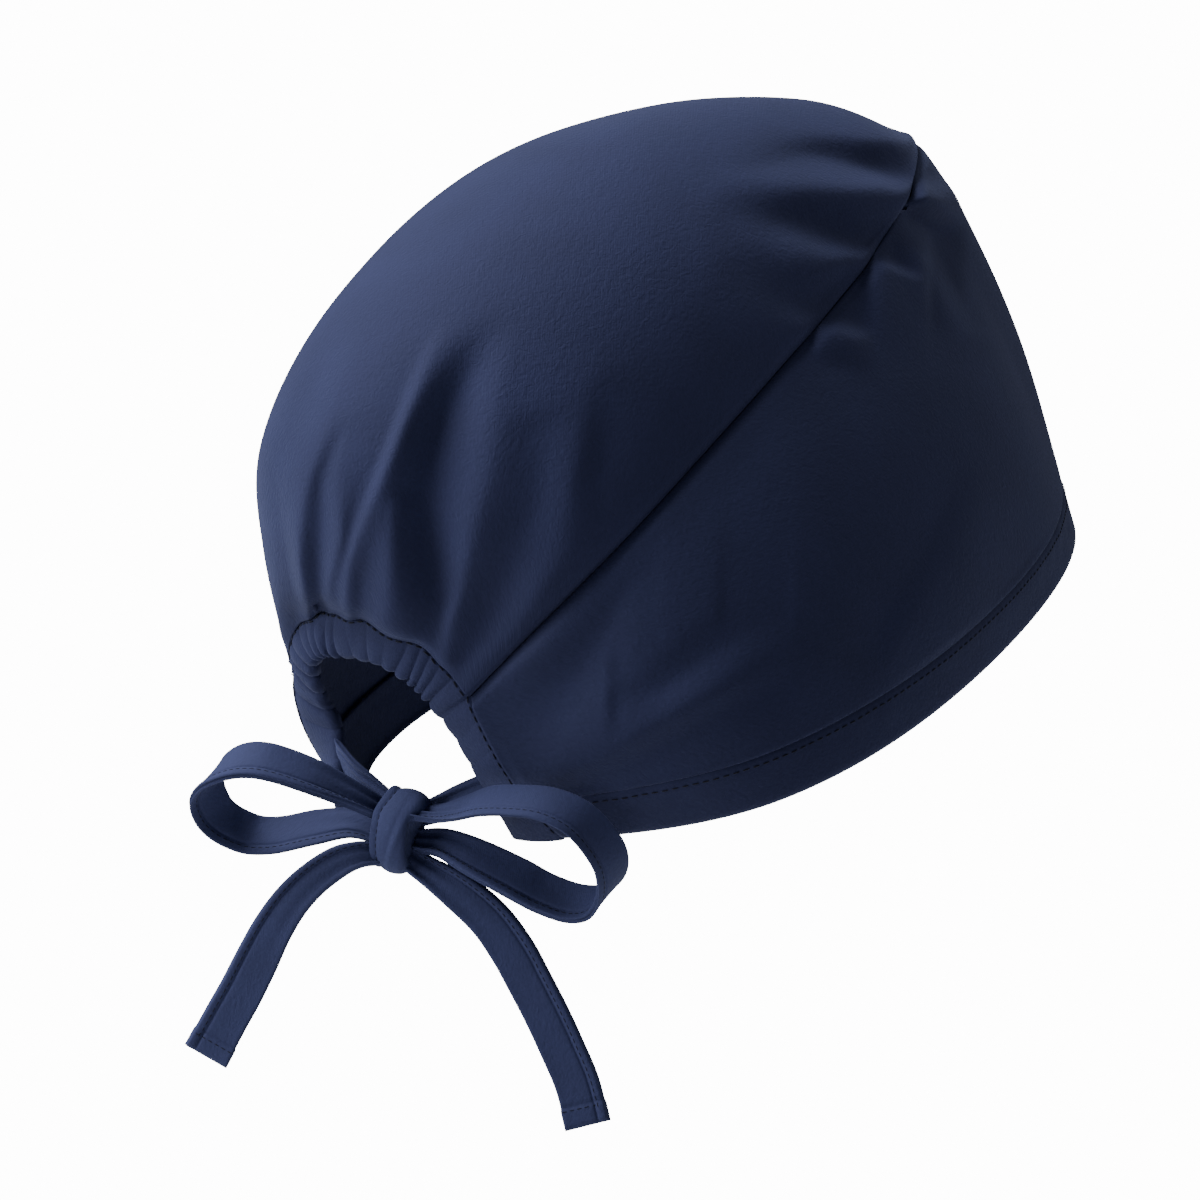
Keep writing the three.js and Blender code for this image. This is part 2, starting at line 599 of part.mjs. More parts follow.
const group = new THREE.Group();
group.add(piece("crown_panel", crownPanel(), 0x2f3850));
group.add(piece("side_panel", sidePanel(), 0x262e47));
group.add(piece("band", band(), 0x252c44));
group.add(piece("casing", casing(), 0x2d3650));
group.add(piece("strap_right", strip(RIGHT_STRAP_ROWS, LEFT_LOOP, 6), 0x2b3350));
group.add(piece("strap_left", strip(LEFT_STRAP_ROWS, LEFT_LOOP, 6), 0x2b3350));
group.add(piece("knot", knot(), 0x39435e));
group.add(piece("bow_loop_left", strip(LEFT_LOOP_ROWS, LEFT_LOOP, 37), 0x303956));
group.add(piece("bow_loop_right", strip(RIGHT_LOOP_ROWS, RIGHT_LOOP, 39), 0x303956));
group.add(piece("tail_left", strip(LEFT_TAIL_ROWS, LEFT_TAIL, 22), 0x262d44));
group.add(piece("tail_right", strip(RIGHT_TAIL_ROWS, RIGHT_TAIL, 22), 0x2c3450));

export default group;
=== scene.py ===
"""Tie-back scrub cap in navy cotton twill, seen from behind its right side.

Lengths of the cap are millimetres up to the mesh makers, which turn them into metres. The light and the
floor are in metres.
+Z is up, the forehead is towards -Y, the bow towards +Y, the wearer's right towards -X.
"""
import math
import bpy
import numpy as np
from mathutils import Matrix


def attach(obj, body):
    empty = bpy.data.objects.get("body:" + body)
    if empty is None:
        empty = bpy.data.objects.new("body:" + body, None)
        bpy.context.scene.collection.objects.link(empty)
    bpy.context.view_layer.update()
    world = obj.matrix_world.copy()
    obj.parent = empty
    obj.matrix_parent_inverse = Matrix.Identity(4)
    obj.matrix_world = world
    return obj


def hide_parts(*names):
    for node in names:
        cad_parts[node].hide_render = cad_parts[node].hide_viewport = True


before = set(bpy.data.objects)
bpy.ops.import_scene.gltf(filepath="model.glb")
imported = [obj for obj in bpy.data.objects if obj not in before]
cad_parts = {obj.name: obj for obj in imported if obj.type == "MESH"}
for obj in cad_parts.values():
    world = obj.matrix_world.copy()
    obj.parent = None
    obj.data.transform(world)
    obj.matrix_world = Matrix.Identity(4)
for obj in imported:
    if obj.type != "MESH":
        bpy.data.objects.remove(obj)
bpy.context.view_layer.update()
MM = 0.001

# Camera fitted to the photograph: 1200 pixels square, no roll.
AZIMUTH = math.radians(230)
ELEVATION = math.radians(6)
DISTANCE = 1300.0
FOCAL_PIXELS = 4550.0
CENTRE_PIXEL = 600.0
TARGET = np.array([91.0, -21.613, 7.866])
TOWARDS = np.array([
    math.sin(AZIMUTH) * math.cos(ELEVATION),
    -math.cos(AZIMUTH) * math.cos(ELEVATION),
    math.sin(ELEVATION),
])
RIGHT = np.array([math.cos(AZIMUTH), math.sin(AZIMUTH), 0.0])
ABOVE = np.cross(TOWARDS, RIGHT)

# Sizes of the cap
RIM_LENGTH = 216.6
EAR_WIDTH = 158.4
CROWN_HEIGHT = 155.0
RIM_LEAN = math.radians(20)
CLOTH = 1.2
HEM_WIDTH = 13.5
HEM_THICKNESS = 2.0
KEYHOLE_WIDTH = 47.0
KEYHOLE_HEIGHT = 57.0
CASING_WIDTH = 11.5
CASING_THICKNESS = 3.2
LEFT_LEG_TURN = math.radians(52)
GATHER_DEPTH = 3.2
SIDE_BELLY = 10.0
NAPE_TWIST = 0.05
NAPE_SHIFT = 4.5

# A point well inside the cap, from which the cloth faces outwards
INSIDE = np.array([0.0, 0.0, CROWN_HEIGHT * 0.35])

# How deep and over what reach the cloth dips at a seam, the lip that turns in under its neighbour, the hem's
# step and its reach behind the panel, and the casing's sink, puff and lap (a share of its width)
SEAM_TUCK = 1.2
SEAM_ROLL = 3.4
LIP_DEPTH = 2.6
LIP_REACH = 2.1
LIP_CLOTH = 0.5
HEM_STEP = 0.35
HEM_OVERLAP = 1.8
CASING_SINK = 0.35
CASING_PUFF = 1.0
CASING_LAP = 0.13

# Stitches: pitch, length and radius
HEM_STITCH = (2.6, 1.7, 0.22)
CASING_STITCH = (2.7, 1.8, 0.26)
TIE_STITCH = (1.9, 1.2, 0.12)

# Sizes of the ties and of the bow
TIE_WIDTH = 10.8
TIE_THICKNESS = 1.8
KNOT_WIDTH = 9.0
KNOT_HEIGHT = 22.5
KNOT_DEPTH = 12.0
KNOT_SIDE = -3.5
KNOT_STANDOFF = 16.0
KNOT_RISE = 9.9
KNOT_LEAN = math.radians(9)
BOW_TURN = math.radians(22)
LEFT_LOOP = 50.0
RIGHT_LOOP = 59.0
LEFT_TAIL = 59.5
RIGHT_TAIL = 72.5


def between(t, start, end, start_slope, end_slope):
    """A smooth course from start to end as t goes from 0 to 1, with the given slopes."""
    head = (2 * t**3 - 3 * t**2 + 1) * start + (t**3 - 2 * t**2 + t) * start_slope
    return head + ((-2 * t**3 + 3 * t**2) * end + (t**3 - t**2) * end_slope)


class Table:
    """Rows of named columns, read smoothly at a place from 0 to 1 along them."""

    def __init__(self, names, rows):
        self.names = names.split()
        self.rows = np.array(rows, float)

    def __call__(self, name, place, level=False):
        values = self.rows[:, self.names.index(name)]
        slopes = np.gradient(values)
        if level:
            slopes[-1] = 0
        last = len(values) - 1
        at = np.clip(place, 0, 1) * last
        i = np.clip(np.floor(at).astype(int), 0, last - 1)
        return between(at - i, values[i], values[i + 1], slopes[i], slopes[i + 1])


def step(value, low, high):
    """0 up to low, 1 from high on and smooth between them."""
    t = np.clip((value - low) / (high - low), 0, 1)
    return t * t * (3 - 2 * t)


def unit(v):
    """Vectors of length 1 the same way."""
    return v / np.maximum(np.linalg.norm(v, axis=-1, keepdims=True), 1e-9)


def dot(a, b):
    return np.sum(a * b, axis=-1, keepdims=True)


def stack(x, y, z):
    return np.stack(np.broadcast_arrays(x, y, z), axis=-1).astype(float)


SEAM = Table("turn side back up belly", [
    (19, (KEYHOLE_WIDTH / 2 + CASING_WIDTH) / (EAR_WIDTH / 2), 1.066, 0.29, 0.45),
    (38, 0.655, 0.855, 0.406, 0.6),
    (65, 0.783, 0.56, 0.516, 0.8),
    (90, 0.797, 0.166, 0.613, 1.0),
    (118, 0.664, -0.259, 0.677, 0.87),
    (150, 0.44, -0.62, 0.735, 0.36),
    (180, 0, -0.87, 0.745, 1.15),
])
CROWN = Table("seam back up slant", [
    (0.955, -0.873, 0.745, 1),
    (0.9, -0.77, 0.79, 1),
    (0.82, -0.57, 0.883, 0.85),
    (0.7, -0.231, 0.965, 0.63),
    (0.55, 0.139, 1.0, 0.55),
    (0.4, 0.505, 0.97, 0.56),
    (0.27, 0.815, 0.884, 0.57),
    (0.17, 1.06, 0.746, 0.63),
    (0.09, 1.145, 0.61, 0.72),
    (0.03, 1.165, 0.495, 0.74),
    (0, 1.112, 0.432, 0.66),
])
KEYHOLE = Table("side back up", [
    (0.92, 0.975, 0),
    (0.88, 1.012, 0.3),
    (0.94, 1.048, 0.53),
    (1.0, 1.085, 0.7),
    (0.84, 1.11, 0.88),
    (0.46, 1.13, 0.98),
    (0, 1.133, 1),
])


def seam(place):
    """The seam between the crown and the side panel, right half, from the casing (0) to the forehead (1)."""
    return stack(
        -SEAM("side", place) * EAR_WIDTH / 2,
        SEAM("back", place, True) * RIM_LENGTH / 2,
        SEAM("up", place, True) * CROWN_HEIGHT,
    )


def side_face(place, rise):
    """The side panel's outer face, right half, without its folds."""
    place, rise = np.broadcast_arrays(place, rise)
    turn = np.radians(SEAM("turn", place))
    swell = 1 + 0.33 * np.cos(turn) + 0.15 * np.cos(turn) ** 2
    foot = stack(-EAR_WIDTH / 2 * np.sin(turn) * swell, RIM_LENGTH / 2 * np.cos(turn), 0)
    belly = SEAM("belly", place, True) * SIDE_BELLY * 4 * rise * (1 - rise)
    away = unit(stack(-np.sin(turn), 0.9 * np.cos(turn), 0))
    return foot + (seam(place) - foot) * rise[..., None] + away * belly[..., None]


def crown_face(place, across):
    """The crown's outer face without its folds. across: -90 to 90 degrees."""
    place, across = np.broadcast_arrays(place, across)
    spring = seam(np.clip(CROWN("seam", place), 0, 1))
    foot = spring * np.array([0, 1, 1])
    middle = stack(0, CROWN("back", place) * RIM_LENGTH / 2, CROWN("up", place) * CROWN_HEIGHT)
    angle = np.radians(across)
    lift = np.maximum(np.cos(angle), 0) ** (2 * CROWN("slant", place))
    side = stack(-spring[..., 0] * np.sin(angle), 0, 0)
    return foot + (middle - foot) * lift[..., None] + side


def worn(points):
    """The tie pulls the nape aside and the cap leans back."""
    p = np.array(points, float)
    nape = step(p[..., 1], 0.3 * RIM_LENGTH, 0.55 * RIM_LENGTH)
    low = 1 - step(p[..., 2], 0.2 * CROWN_HEIGHT, 0.45 * CROWN_HEIGHT)
    y = p[..., 1] + NAPE_TWIST * p[..., 0] * nape * low
    x = p[..., 0] + NAPE_SHIFT * nape
    c, s = math.cos(RIM_LEAN), math.sin(RIM_LEAN)
    return stack(x, y * c + p[..., 2] * s, p[..., 2] * c - y * s)


def grid_normals(points, outward):
    """Normals of a grid of points, on the side of outward (an array or a point inside)."""
    a = np.gradient(points, axis=0)
    b = np.gradient(points, axis=1)
    n = unit(np.cross(a, b))
    flip = np.sign(np.sum(n * outward, axis=-1, keepdims=True))
    flip[flip == 0] = 1
    return n * flip


def pixels(points):
    """Where the fitted camera sees the points, in the photograph's pixels."""
    q = points - TARGET
    depth = DISTANCE - q @ TOWARDS
    return np.stack([
        CENTRE_PIXEL + FOCAL_PIXELS * (q @ RIGHT) / depth,
        CENTRE_PIXEL - FOCAL_PIXELS * (q @ ABOVE) / depth,
    ], axis=-1)


# Relief of the cloth as the photograph shows it. Each line is a crest or a valley between two smooth slopes.
# Its rows are the place along the picture, the place across it, both in the photograph's pixels, and the
# height in millimetres. Lines of zero height bound the relief.

# The gathers above the keyhole. Along: down the picture. Across: to the right.
GATHERS = [
    [(300, 326, 0), (400, 284, 0), (440, 265, 0), (480, 259, 0), (520, 261, 0), (560, 267, 0), (600, 276, 0),
     (640, 288, 0), (720, 300, 0)],
    [(320, 330, 0), (360, 320, -0.3), (400, 306, -0.5), (440, 288, -0.5), (480, 276, -0.5), (520, 281, -0.6),
     (560, 288, -0.6), (600, 295, -0.6), (650, 303, -0.4)],
    [(300, 380, 0), (340, 364, 0.4), (380, 346, 0.7), (400, 338, 0.8), (440, 325, 1.1), (480, 311, 1.3),
     (520, 302, 1.6), (560, 301, 1.8), (600, 307, 1.4), (640, 313, 0.8)],
    [(430, 345, 0.4), (450, 335, 0.2), (480, 323, -0.1), (520, 322, -0.6), (560, 320, -1.2), (600, 320, -1.3),
     (640, 320, -1.2)],
    [(430, 352, 0.5), (450, 343, 0.6), (480, 341, 0.8), (520, 342, 1.3), (545, 342, 1.3), (565, 336, 0.8),
     (580, 331, 0.4), (600, 331, 0.0), (640, 331, -0.3)],
    [(320, 432, 0), (340, 424, 0.4), (360, 415, 0.6), (380, 408, 0.7), (400, 400, 0.7), (440, 385, 0.5),
     (480, 370, 0.2), (500, 362, 0.2), (520, 354, 0.3), (540, 349, 0.7), (560, 343, 0.5), (580, 337, 0.2),
     (600, 335, -0.1), (640, 335, -0.4)],
    [(320, 448, 0), (340, 439, 0.9), (360, 429, 1.7), (380, 421, 2.2), (400, 413, 2.4), (440, 398, 2.4),
     (480, 383, 2.2), (500, 375, 2.1), (520, 367, 2.0), (540, 358, 1.9), (560, 352, 1.7), (580, 349, 1.3),
     (600, 348, 1.2), (640, 347, 0.7)],
    [(500, 382, 1.9), (520, 378, 1.8), (540, 375, 1.5), (560, 369, 0.9), (580, 364, 0.0), (600, 363, -0.4),
     (640, 362, -0.6)],
    [(500, 389, 1.5), (520, 390, 1.6), (540, 390, 1.9), (560, 391, 2.1), (580, 391, 2.0), (600, 391, 1.8),
     (620, 389, 1.3), (645, 388, 0.4)],
    [(320, 492, 0), (340, 483, -0.5), (360, 473, -1.1), (380, 464, -1.9), (400, 454, -2.8), (420, 445, -3.6),
     (440, 439, -4.2), (480, 433, -4.8), (520, 430, -5.2), (560, 436, -5.2), (580, 438, -4.8),
     (600, 441, -4.2), (620, 438, -3.4), (640, 434, -2.4), (665, 428, -1.2), (690, 420, -0.6)],
    [(320, 520, 0), (360, 510, 0.3), (400, 503, 0.6), (440, 500, 0.6), (480, 494, 0.4), (520, 482, 0.1),
     (540, 476, -0.2), (560, 470, -0.5), (580, 466, -0.8), (600, 460, -1.0), (620, 453, -0.9),
     (640, 450, -1.1), (665, 445, -0.5)],
    [(420, 536, 0), (440, 536, -0.1), (480, 534, -0.3), (520, 524, -0.8), (540, 514, -1.3), (560, 507, -1.9),
     (580, 500, -2.3), (600, 493, -2.7), (620, 484, -2.8), (640, 475, -2.3), (665, 459, -1.6),
     (690, 450, -0.6)],
    [(340, 578, 0), (400, 579, 0.6), (440, 580, 1.2), (480, 575, 1.6), (520, 573, 1.9), (560, 566, 1.9),
     (580, 553, 1.6), (600, 541, 1.2), (620, 527, 0.7), (640, 511, 0.2), (665, 486, 0.0), (690, 470, 0)],
    [(380, 612, 0), (420, 607, -0.4), (460, 602, -0.4), (480, 597, 0.1), (520, 606, 0.6), (560, 600, 0.6),
     (600, 570, 0.4), (640, 530, 0.1), (690, 490, 0)],
    [(300, 680, 0), (400, 660, 0), (690, 640, 0)],
]
# The short folds at the front end of the seam. Along: to the right. Across: down the picture.
FRONT_FOLDS = [
    [(700, 80, 0), (860, 98, 0), (912, 122, 0), (925, 130, 0)],
    [(740, 112, 0), (780, 127, 0.2), (820, 133, 0.5), (860, 140, 0.9), (880, 141, 0.9), (912, 141, 0.6)],
    [(700, 160, 0), (760, 162, -0.2), (800, 155, -0.5), (840, 158, -0.9), (860, 165, -1.1), (880, 170, -1.2),
     (900, 175, -0.9), (912, 175, -0.5)],
    [(690, 180, 0), (720, 182, 0.2), (760, 187, 0.7), (800, 190, 1.2), (840, 191, 1.5), (880, 192, 1.5),
     (900, 197, 1.2), (912, 197, 0.8)],
    [(720, 205, 0), (760, 213, -0.4), (780, 219, -0.8), (800, 222, -1.1), (820, 230, -1.4), (840, 237, -1.5),
     (860, 244, -1.3), (880, 240, -1.4), (912, 235, -1.2)],
    [(720, 238, 0), (760, 248, 0.3), (780, 253, 0.5), (800, 257, 0.8), (820, 260, 1.0), (840, 260, 1.1),
     (860, 260, 0.9), (885, 258, 0.5)],
    [(720, 260, 0), (760, 280, -0.3), (780, 296, -0.5), (800, 306, -0.9), (820, 311, -1.1), (840, 288, -1.0),
     (860, 285, -0.6), (885, 285, -0.5)],
    [(730, 308, 0), (760, 315, 0.2), (780, 319, 0.4), (800, 324, 0.7), (820, 324, 0.6), (840, 320, 0.2),
     (860, 315, 0)],
    [(700, 350, 0), (925, 350, 0)],
]
# The folds of the side panel that run from the keyhole over the hem. Along: to the right.
PANEL_FOLDS = [
    [(470, 640, 0), (500, 600, 0), (800, 480, 0), (900, 460, 0)],
    [(470, 680, 0), (515, 660, 0.8), (540, 648, 0.9), (570, 620, 0.6), (600, 590, 0.3), (630, 562, 0.1),
     (660, 540, 0)],
    [(470, 712, 0), (515, 705, -0.6), (540, 698, -1.1), (570, 680, -1.3), (600, 642, -1.0), (630, 590, -0.3),
     (660, 565, 0)],
    [(612, 660, -0.5), (630, 668, 0.2), (660, 650, 0.3), (690, 620, 0.1), (720, 600, 0)],
    [(612, 690, 0.5), (630, 688, 0.4), (660, 682, -0.2), (690, 662, -0.6), (720, 642, -0.6), (750, 625, -0.4),
     (790, 608, 0)],
    [(470, 806, 0), (505, 798, 0.8), (540, 785, 1.9), (570, 768, 2.5), (600, 756, 2.8), (630, 739, 2.7),
     (660, 722, 2.3), (690, 706, 1.9), (720, 689, 1.4), (750, 672, 0.9), (780, 660, 0.6), (820, 650, 0.3),
     (860, 636, 0)],
    [(470, 812, 0), (505, 808, -0.2), (540, 801, -0.4), (570, 792, -0.5), (600, 781, -0.5), (630, 766, -0.4),
     (660, 750, -0.3), (690, 733, -0.2), (720, 716, -0.1), (750, 702, -0.1), (790, 690, 0)],
    [(470, 818, 0), (500, 816, 0), (660, 796, 0), (800, 752, 0), (900, 690, 0)],
]
# The puckers beside the front end of the seam, on the side panel. Along: to the right.
PANEL_PUCKERS = [
    [(815, 300, 0), (905, 178, 0), (980, 190, 0)],
    [(900, 194, 0.9), (915, 196, 0.9), (930, 200, 0.8), (945, 205, 0.6), (960, 211, 0)],
    [(895, 205, -0.2), (915, 216, -0.9), (930, 224, -1.0), (945, 230, -0.7), (965, 236, 0)],
    [(868, 250, -0.1), (885, 256, -0.4), (900, 262, -0.4), (915, 268, -0.2), (928, 272, 0)],
    [(868, 262, 0.4), (880, 266, 0.6), (900, 275, 0.5), (912, 280, 0.3), (928, 284, 0)],
    [(815, 318, -0.1), (840, 316, -0.3), (855, 322, -0.3), (872, 328, 0)],
    [(815, 328, 0.5), (840, 336, 0.6), (855, 340, 0.5), (872, 344, 0)],
    [(800, 372, 0), (980, 372, 0)],
]
# The long soft folds of the front half of the side panel. Along: down the picture.
PANEL_EASE = [
    [(215, 880, 0), (350, 915, 0), (440, 935, 0), (480, 900, 0), (700, 800, 0)],
    [(215, 905, 0), (240, 914, 0.8), (270, 929, 1.0), (300, 942, 0.8), (330, 955, 0.3), (360, 968, 0)],
    [(215, 930, 0), (240, 937, -0.6), (270, 951, -0.5), (300, 966, -0.3), (330, 976, 0)],
    [(450, 966, 0), (480, 952, -0.2), (520, 934, -0.4), (560, 915, -0.4), (600, 890, -0.4), (640, 872, -0.3),
     (680, 862, 0)],
    [(450, 990, 0), (480, 984, 0.2), (520, 968, 0.4), (560, 950, 0.5), (600, 925, 0.5), (640, 905, 0.4),
     (680, 890, 0)],
    [(215, 1000, 0), (360, 1040, 0), (560, 1045, 0), (700, 980, 0)],
]


def curve(rows, column, at):
    """A smooth curve through one column of rows whose first column rises."""
    start, values = rows[:, 0], rows[:, column]
    slopes = np.gradient(values, start)
    i = int(np.clip(np.searchsorted(start, at) - 1, 0, len(start) - 2))
    span = start[i + 1] - start[i]
    t = (at - start[i]) / span
    return between(t, values[i], values[i + 1], span * slopes[i], span * slopes[i + 1])


def blur(chart, radius):
    """A chart softened along its first axis, by a radius in cells."""
    reach = int(3 * radius + 1)
    weight = np.exp(-0.5 * (np.arange(-reach, reach + 1) / radius) ** 2)
    weight = weight / weight.sum()
    padded = np.pad(chart, ((reach, reach), (0, 0)), mode="edge")
    return sum(w * padded[k:k + len(chart)] for k, w in enumerate(weight))


# Charts of the relief: the cell in pixels, the softening along and across the lines in cells, and how much
# the folds that face the camera least are raised
CHART_CELL = 2.0
SOFT_ALONG = 1.8
SOFT_ACROSS = 0.7
FRONT_GAIN = 1.9
EASE_GAIN = 1.8
PUCKER_GAIN = 3.5


def relief_chart(lines, down, gain=1.0):
    """Heights over the photograph. The lines run down it, or else to the right."""
    size = int(2 * CENTRE_PIXEL / CHART_CELL)
    cells = np.arange(size) * CHART_CELL
    chart = np.zeros((size, size))
    tables = [np.array(line, float) for line in lines]
    for i, at in enumerate(cells):
        spots = sorted((curve(t, 1, at), curve(t, 2, at)) for t in tables if t[0, 0] <= at <= t[-1, 0])
        if len(spots) < 2:
            continue
        place, height = np.array(spots).T
        k = np.clip(np.searchsorted(place, cells) - 1, 0, len(place) - 2)
        t = np.clip((cells - place[k]) / np.maximum(place[k + 1] - place[k], 1), 0, 1)
        chart[i] = height[k] + (height[k + 1] - height[k]) * t * t * (3 - 2 * t)
    chart = gain * blur(blur(chart, SOFT_ALONG).T, SOFT_ACROSS).T
    return chart if down else chart.T


def read_chart(chart, px):
    """Heights at places in pixels, between the four nearest cells."""
    at = np.clip(px / CHART_CELL, 0, len(chart) - 1.01)
    i = np.floor(at).astype(int)
    f = at - i
    x, y = i[..., 0], i[..., 1]
    top = chart[y, x] * (1 - f[..., 0]) + chart[y, x + 1] * f[..., 0]
    low = chart[y + 1, x] * (1 - f[..., 0]) + chart[y + 1, x + 1] * f[..., 0]
    return top * (1 - f[..., 1]) + low * f[..., 1]


def relief(points, normals, charts):
    """Heights at points of a worn face, so that the raised crests show where the photograph has them."""
    seen = step(normals @ TOWARDS, 0.0, 0.25)
    height = np.zeros(points.shape[:-1])
    for _ in range(4):
        px = pixels(points + normals * height[..., None])
        target = sum(read_chart(chart, px) * weight for chart, weight in charts) * seen
        height = 0.35 * height + 0.65 * target
    return height


GATHER_CHART = relief_chart(GATHERS, True)
FRONT_CHART = relief_chart(FRONT_FOLDS, False, FRONT_GAIN)
PANEL_CHART = relief_chart(PANEL_FOLDS, False)
PUCKER_CHART = relief_chart(PANEL_PUCKERS, False, PUCKER_GAIN)
EASE_CHART = relief_chart(PANEL_EASE, True, EASE_GAIN)


def wobble(points, scale, seed):
    """Soft seeded unevenness, about -1 to 1, over a length scale in millimetres."""
    rng = np.random.default_rng(seed)
    total = np.zeros(points.shape[:-1])
    for _ in range(7):
        way = rng.normal(size=3)
        way = way / np.linalg.norm(way) * (2 * math.pi / scale) * rng.uniform(0.6, 1.4)
        total += np.sin(points @ way + rng.uniform(0, 2 * math.pi))
    return total / 3.5


# Gathers on the far side of the crown, which the photograph doesn't show.
# start and end: degrees across, reach: share of the crown, height: share of GATHER_DEPTH, width: degrees.
FAR_GATHERS = [
    (8, -5, 0.4, 0.7, 7), (21, 12, 0.35, -0.8, 6.5), (35, 24, 0.42, 0.5, 7), (50, 35, 0.38, -1.3, 8),
    (64, 46, 0.42, 0.2, 6.5), (78, 60, 0.35, -0.6, 6),
]


def far_gathers(place, across):
    total = np.zeros(np.broadcast(place, across).shape)
    for start, end, reach, height, width in FAR_GATHERS:
        t = np.clip((1 - place) / reach, 0, 1)
        centre = start + (end - start) * t
        bump = np.exp(-((across - centre) / (width * (1 + 0.6 * t))) ** 2)
        total = total + height * (1 - step(t, 0.35, 1)) * bump
    return total * GATHER_DEPTH


# Mesh makers

def mesh_object(name, points, faces, uvs, material):
    """A smooth mesh from points and uvs in millimetres."""
    mesh = bpy.data.meshes.new(name)
    mesh.from_pydata((np.asarray(points) * MM).tolist(), [], faces)
    mesh.polygons.foreach_set("use_smooth", [True] * len(mesh.polygons))
    if uvs is not None:
        layer = mesh.uv_layers.new(name="weave")
        loops = np.zeros(len(mesh.loops), dtype=np.int32)
        mesh.loops.foreach_get("vertex_index", loops)
        layer.data.foreach_set("uv", (np.asarray(uvs)[loops] * MM).astype(np.float32).ravel())
    mesh.update()
    mesh.validate()
    piece = bpy.data.objects.new(name, mesh)
    bpy.context.scene.collection.objects.link(piece)
    piece.data.materials.append(material)
    return piece


def cloth_uvs(points):
    """Lengths along both ways of a grid, in millimetres, so that the weave keeps its scale."""
    du = np.linalg.norm(np.diff(points, axis=0), axis=-1)
    dv = np.linalg.norm(np.diff(points, axis=1), axis=-1)
    u = np.zeros(points.shape[:2])
    v = np.zeros(points.shape[:2])
    u[1:] = np.cumsum(du, axis=0)
    v[:, 1:] = np.cumsum(dv, axis=1)
    middle = points.shape[1] // 2
    return np.stack([u, v - v[:, middle:middle + 1]], axis=-1)


def shell(name, outer, inner, material):
    """A closed piece of cloth between two grids of points."""
    rows, columns = outer.shape[:2]
    points = np.concatenate([outer.reshape(-1, 3), inner.reshape(-1, 3)])
    uvs = np.concatenate([cloth_uvs(outer).reshape(-1, 2)] * 2)
    i, j = np.meshgrid(np.arange(rows - 1), np.arange(columns - 1), indexing="ij")
    a = (i * columns + j).ravel()
    quads = np.stack([a, a + columns, a + columns + 1, a + 1], axis=1)
    size = rows * columns
    top, left = np.arange(columns - 1), np.arange(rows - 1) * columns
    low, right = top + size - columns, left + columns - 1
    sides = ((top, top + 1), (low + 1, low), (left + columns, left), (right, right + columns))
    rim = [np.stack([a, b, b + size, a + size], axis=1) for a, b in sides]
    faces = np.concatenate([quads, quads[:, ::-1] + size] + rim)
    normal = np.cross(points[faces[0, 1]] - points[faces[0, 0]], points[faces[0, 3]] - points[faces[0, 0]])
    if normal @ (outer[0, 0] - inner[0, 0]) < 0:
        faces = faces[:, ::-1]
    return mesh_object(name, points, faces.tolist(), uvs, material)


def tube(name, rings, material):
    """A closed body through rings of points, with flat ends."""
    count, sides = rings.shape[:2]
    points = rings.reshape(-1, 3)
    i, j = np.meshgrid(np.arange(count - 1), np.arange(sides), indexing="ij")
    a = (i * sides + j).ravel()
    b = (i * sides + (j + 1) % sides).ravel()
    faces = np.stack([a, b, b + sides, a + sides], axis=1).tolist()
    faces.append(list(range(sides))[::-1])
    faces.append([(count - 1) * sides + k for k in range(sides)])
    closed = np.concatenate([rings, rings[:, :1]], axis=1)
    uvs = cloth_uvs(closed)[:, :-1].reshape(-1, 2)
    centre = points[:sides].mean(axis=0)
    normal = np.cross(points[faces[0][1]] - points[faces[0][0]], points[faces[0][3]] - points[faces[0][0]])
    if normal @ (points[0] - centre) < 0:
        faces = [f[::-1] for f in faces]
    return mesh_object(name, points, faces, uvs, material)


# Materials

# Features of the cloth per metre, the depth of its surface in metres and the lightest yarn's brightness
RIBS = 1000
FUZZ = 900
CREPE = 560
DYE = 55
SURFACE_DEPTH = 0.00018
LIGHT_YARN = 1.22


def linear(r, g, b):
    """Linear shares of a colour given in display values up to 255."""
    return [((c / 255 + 0.055) / 1.055) ** 2.4 if c > 10 else c / 255 / 12.92 for c in (r, g, b)]


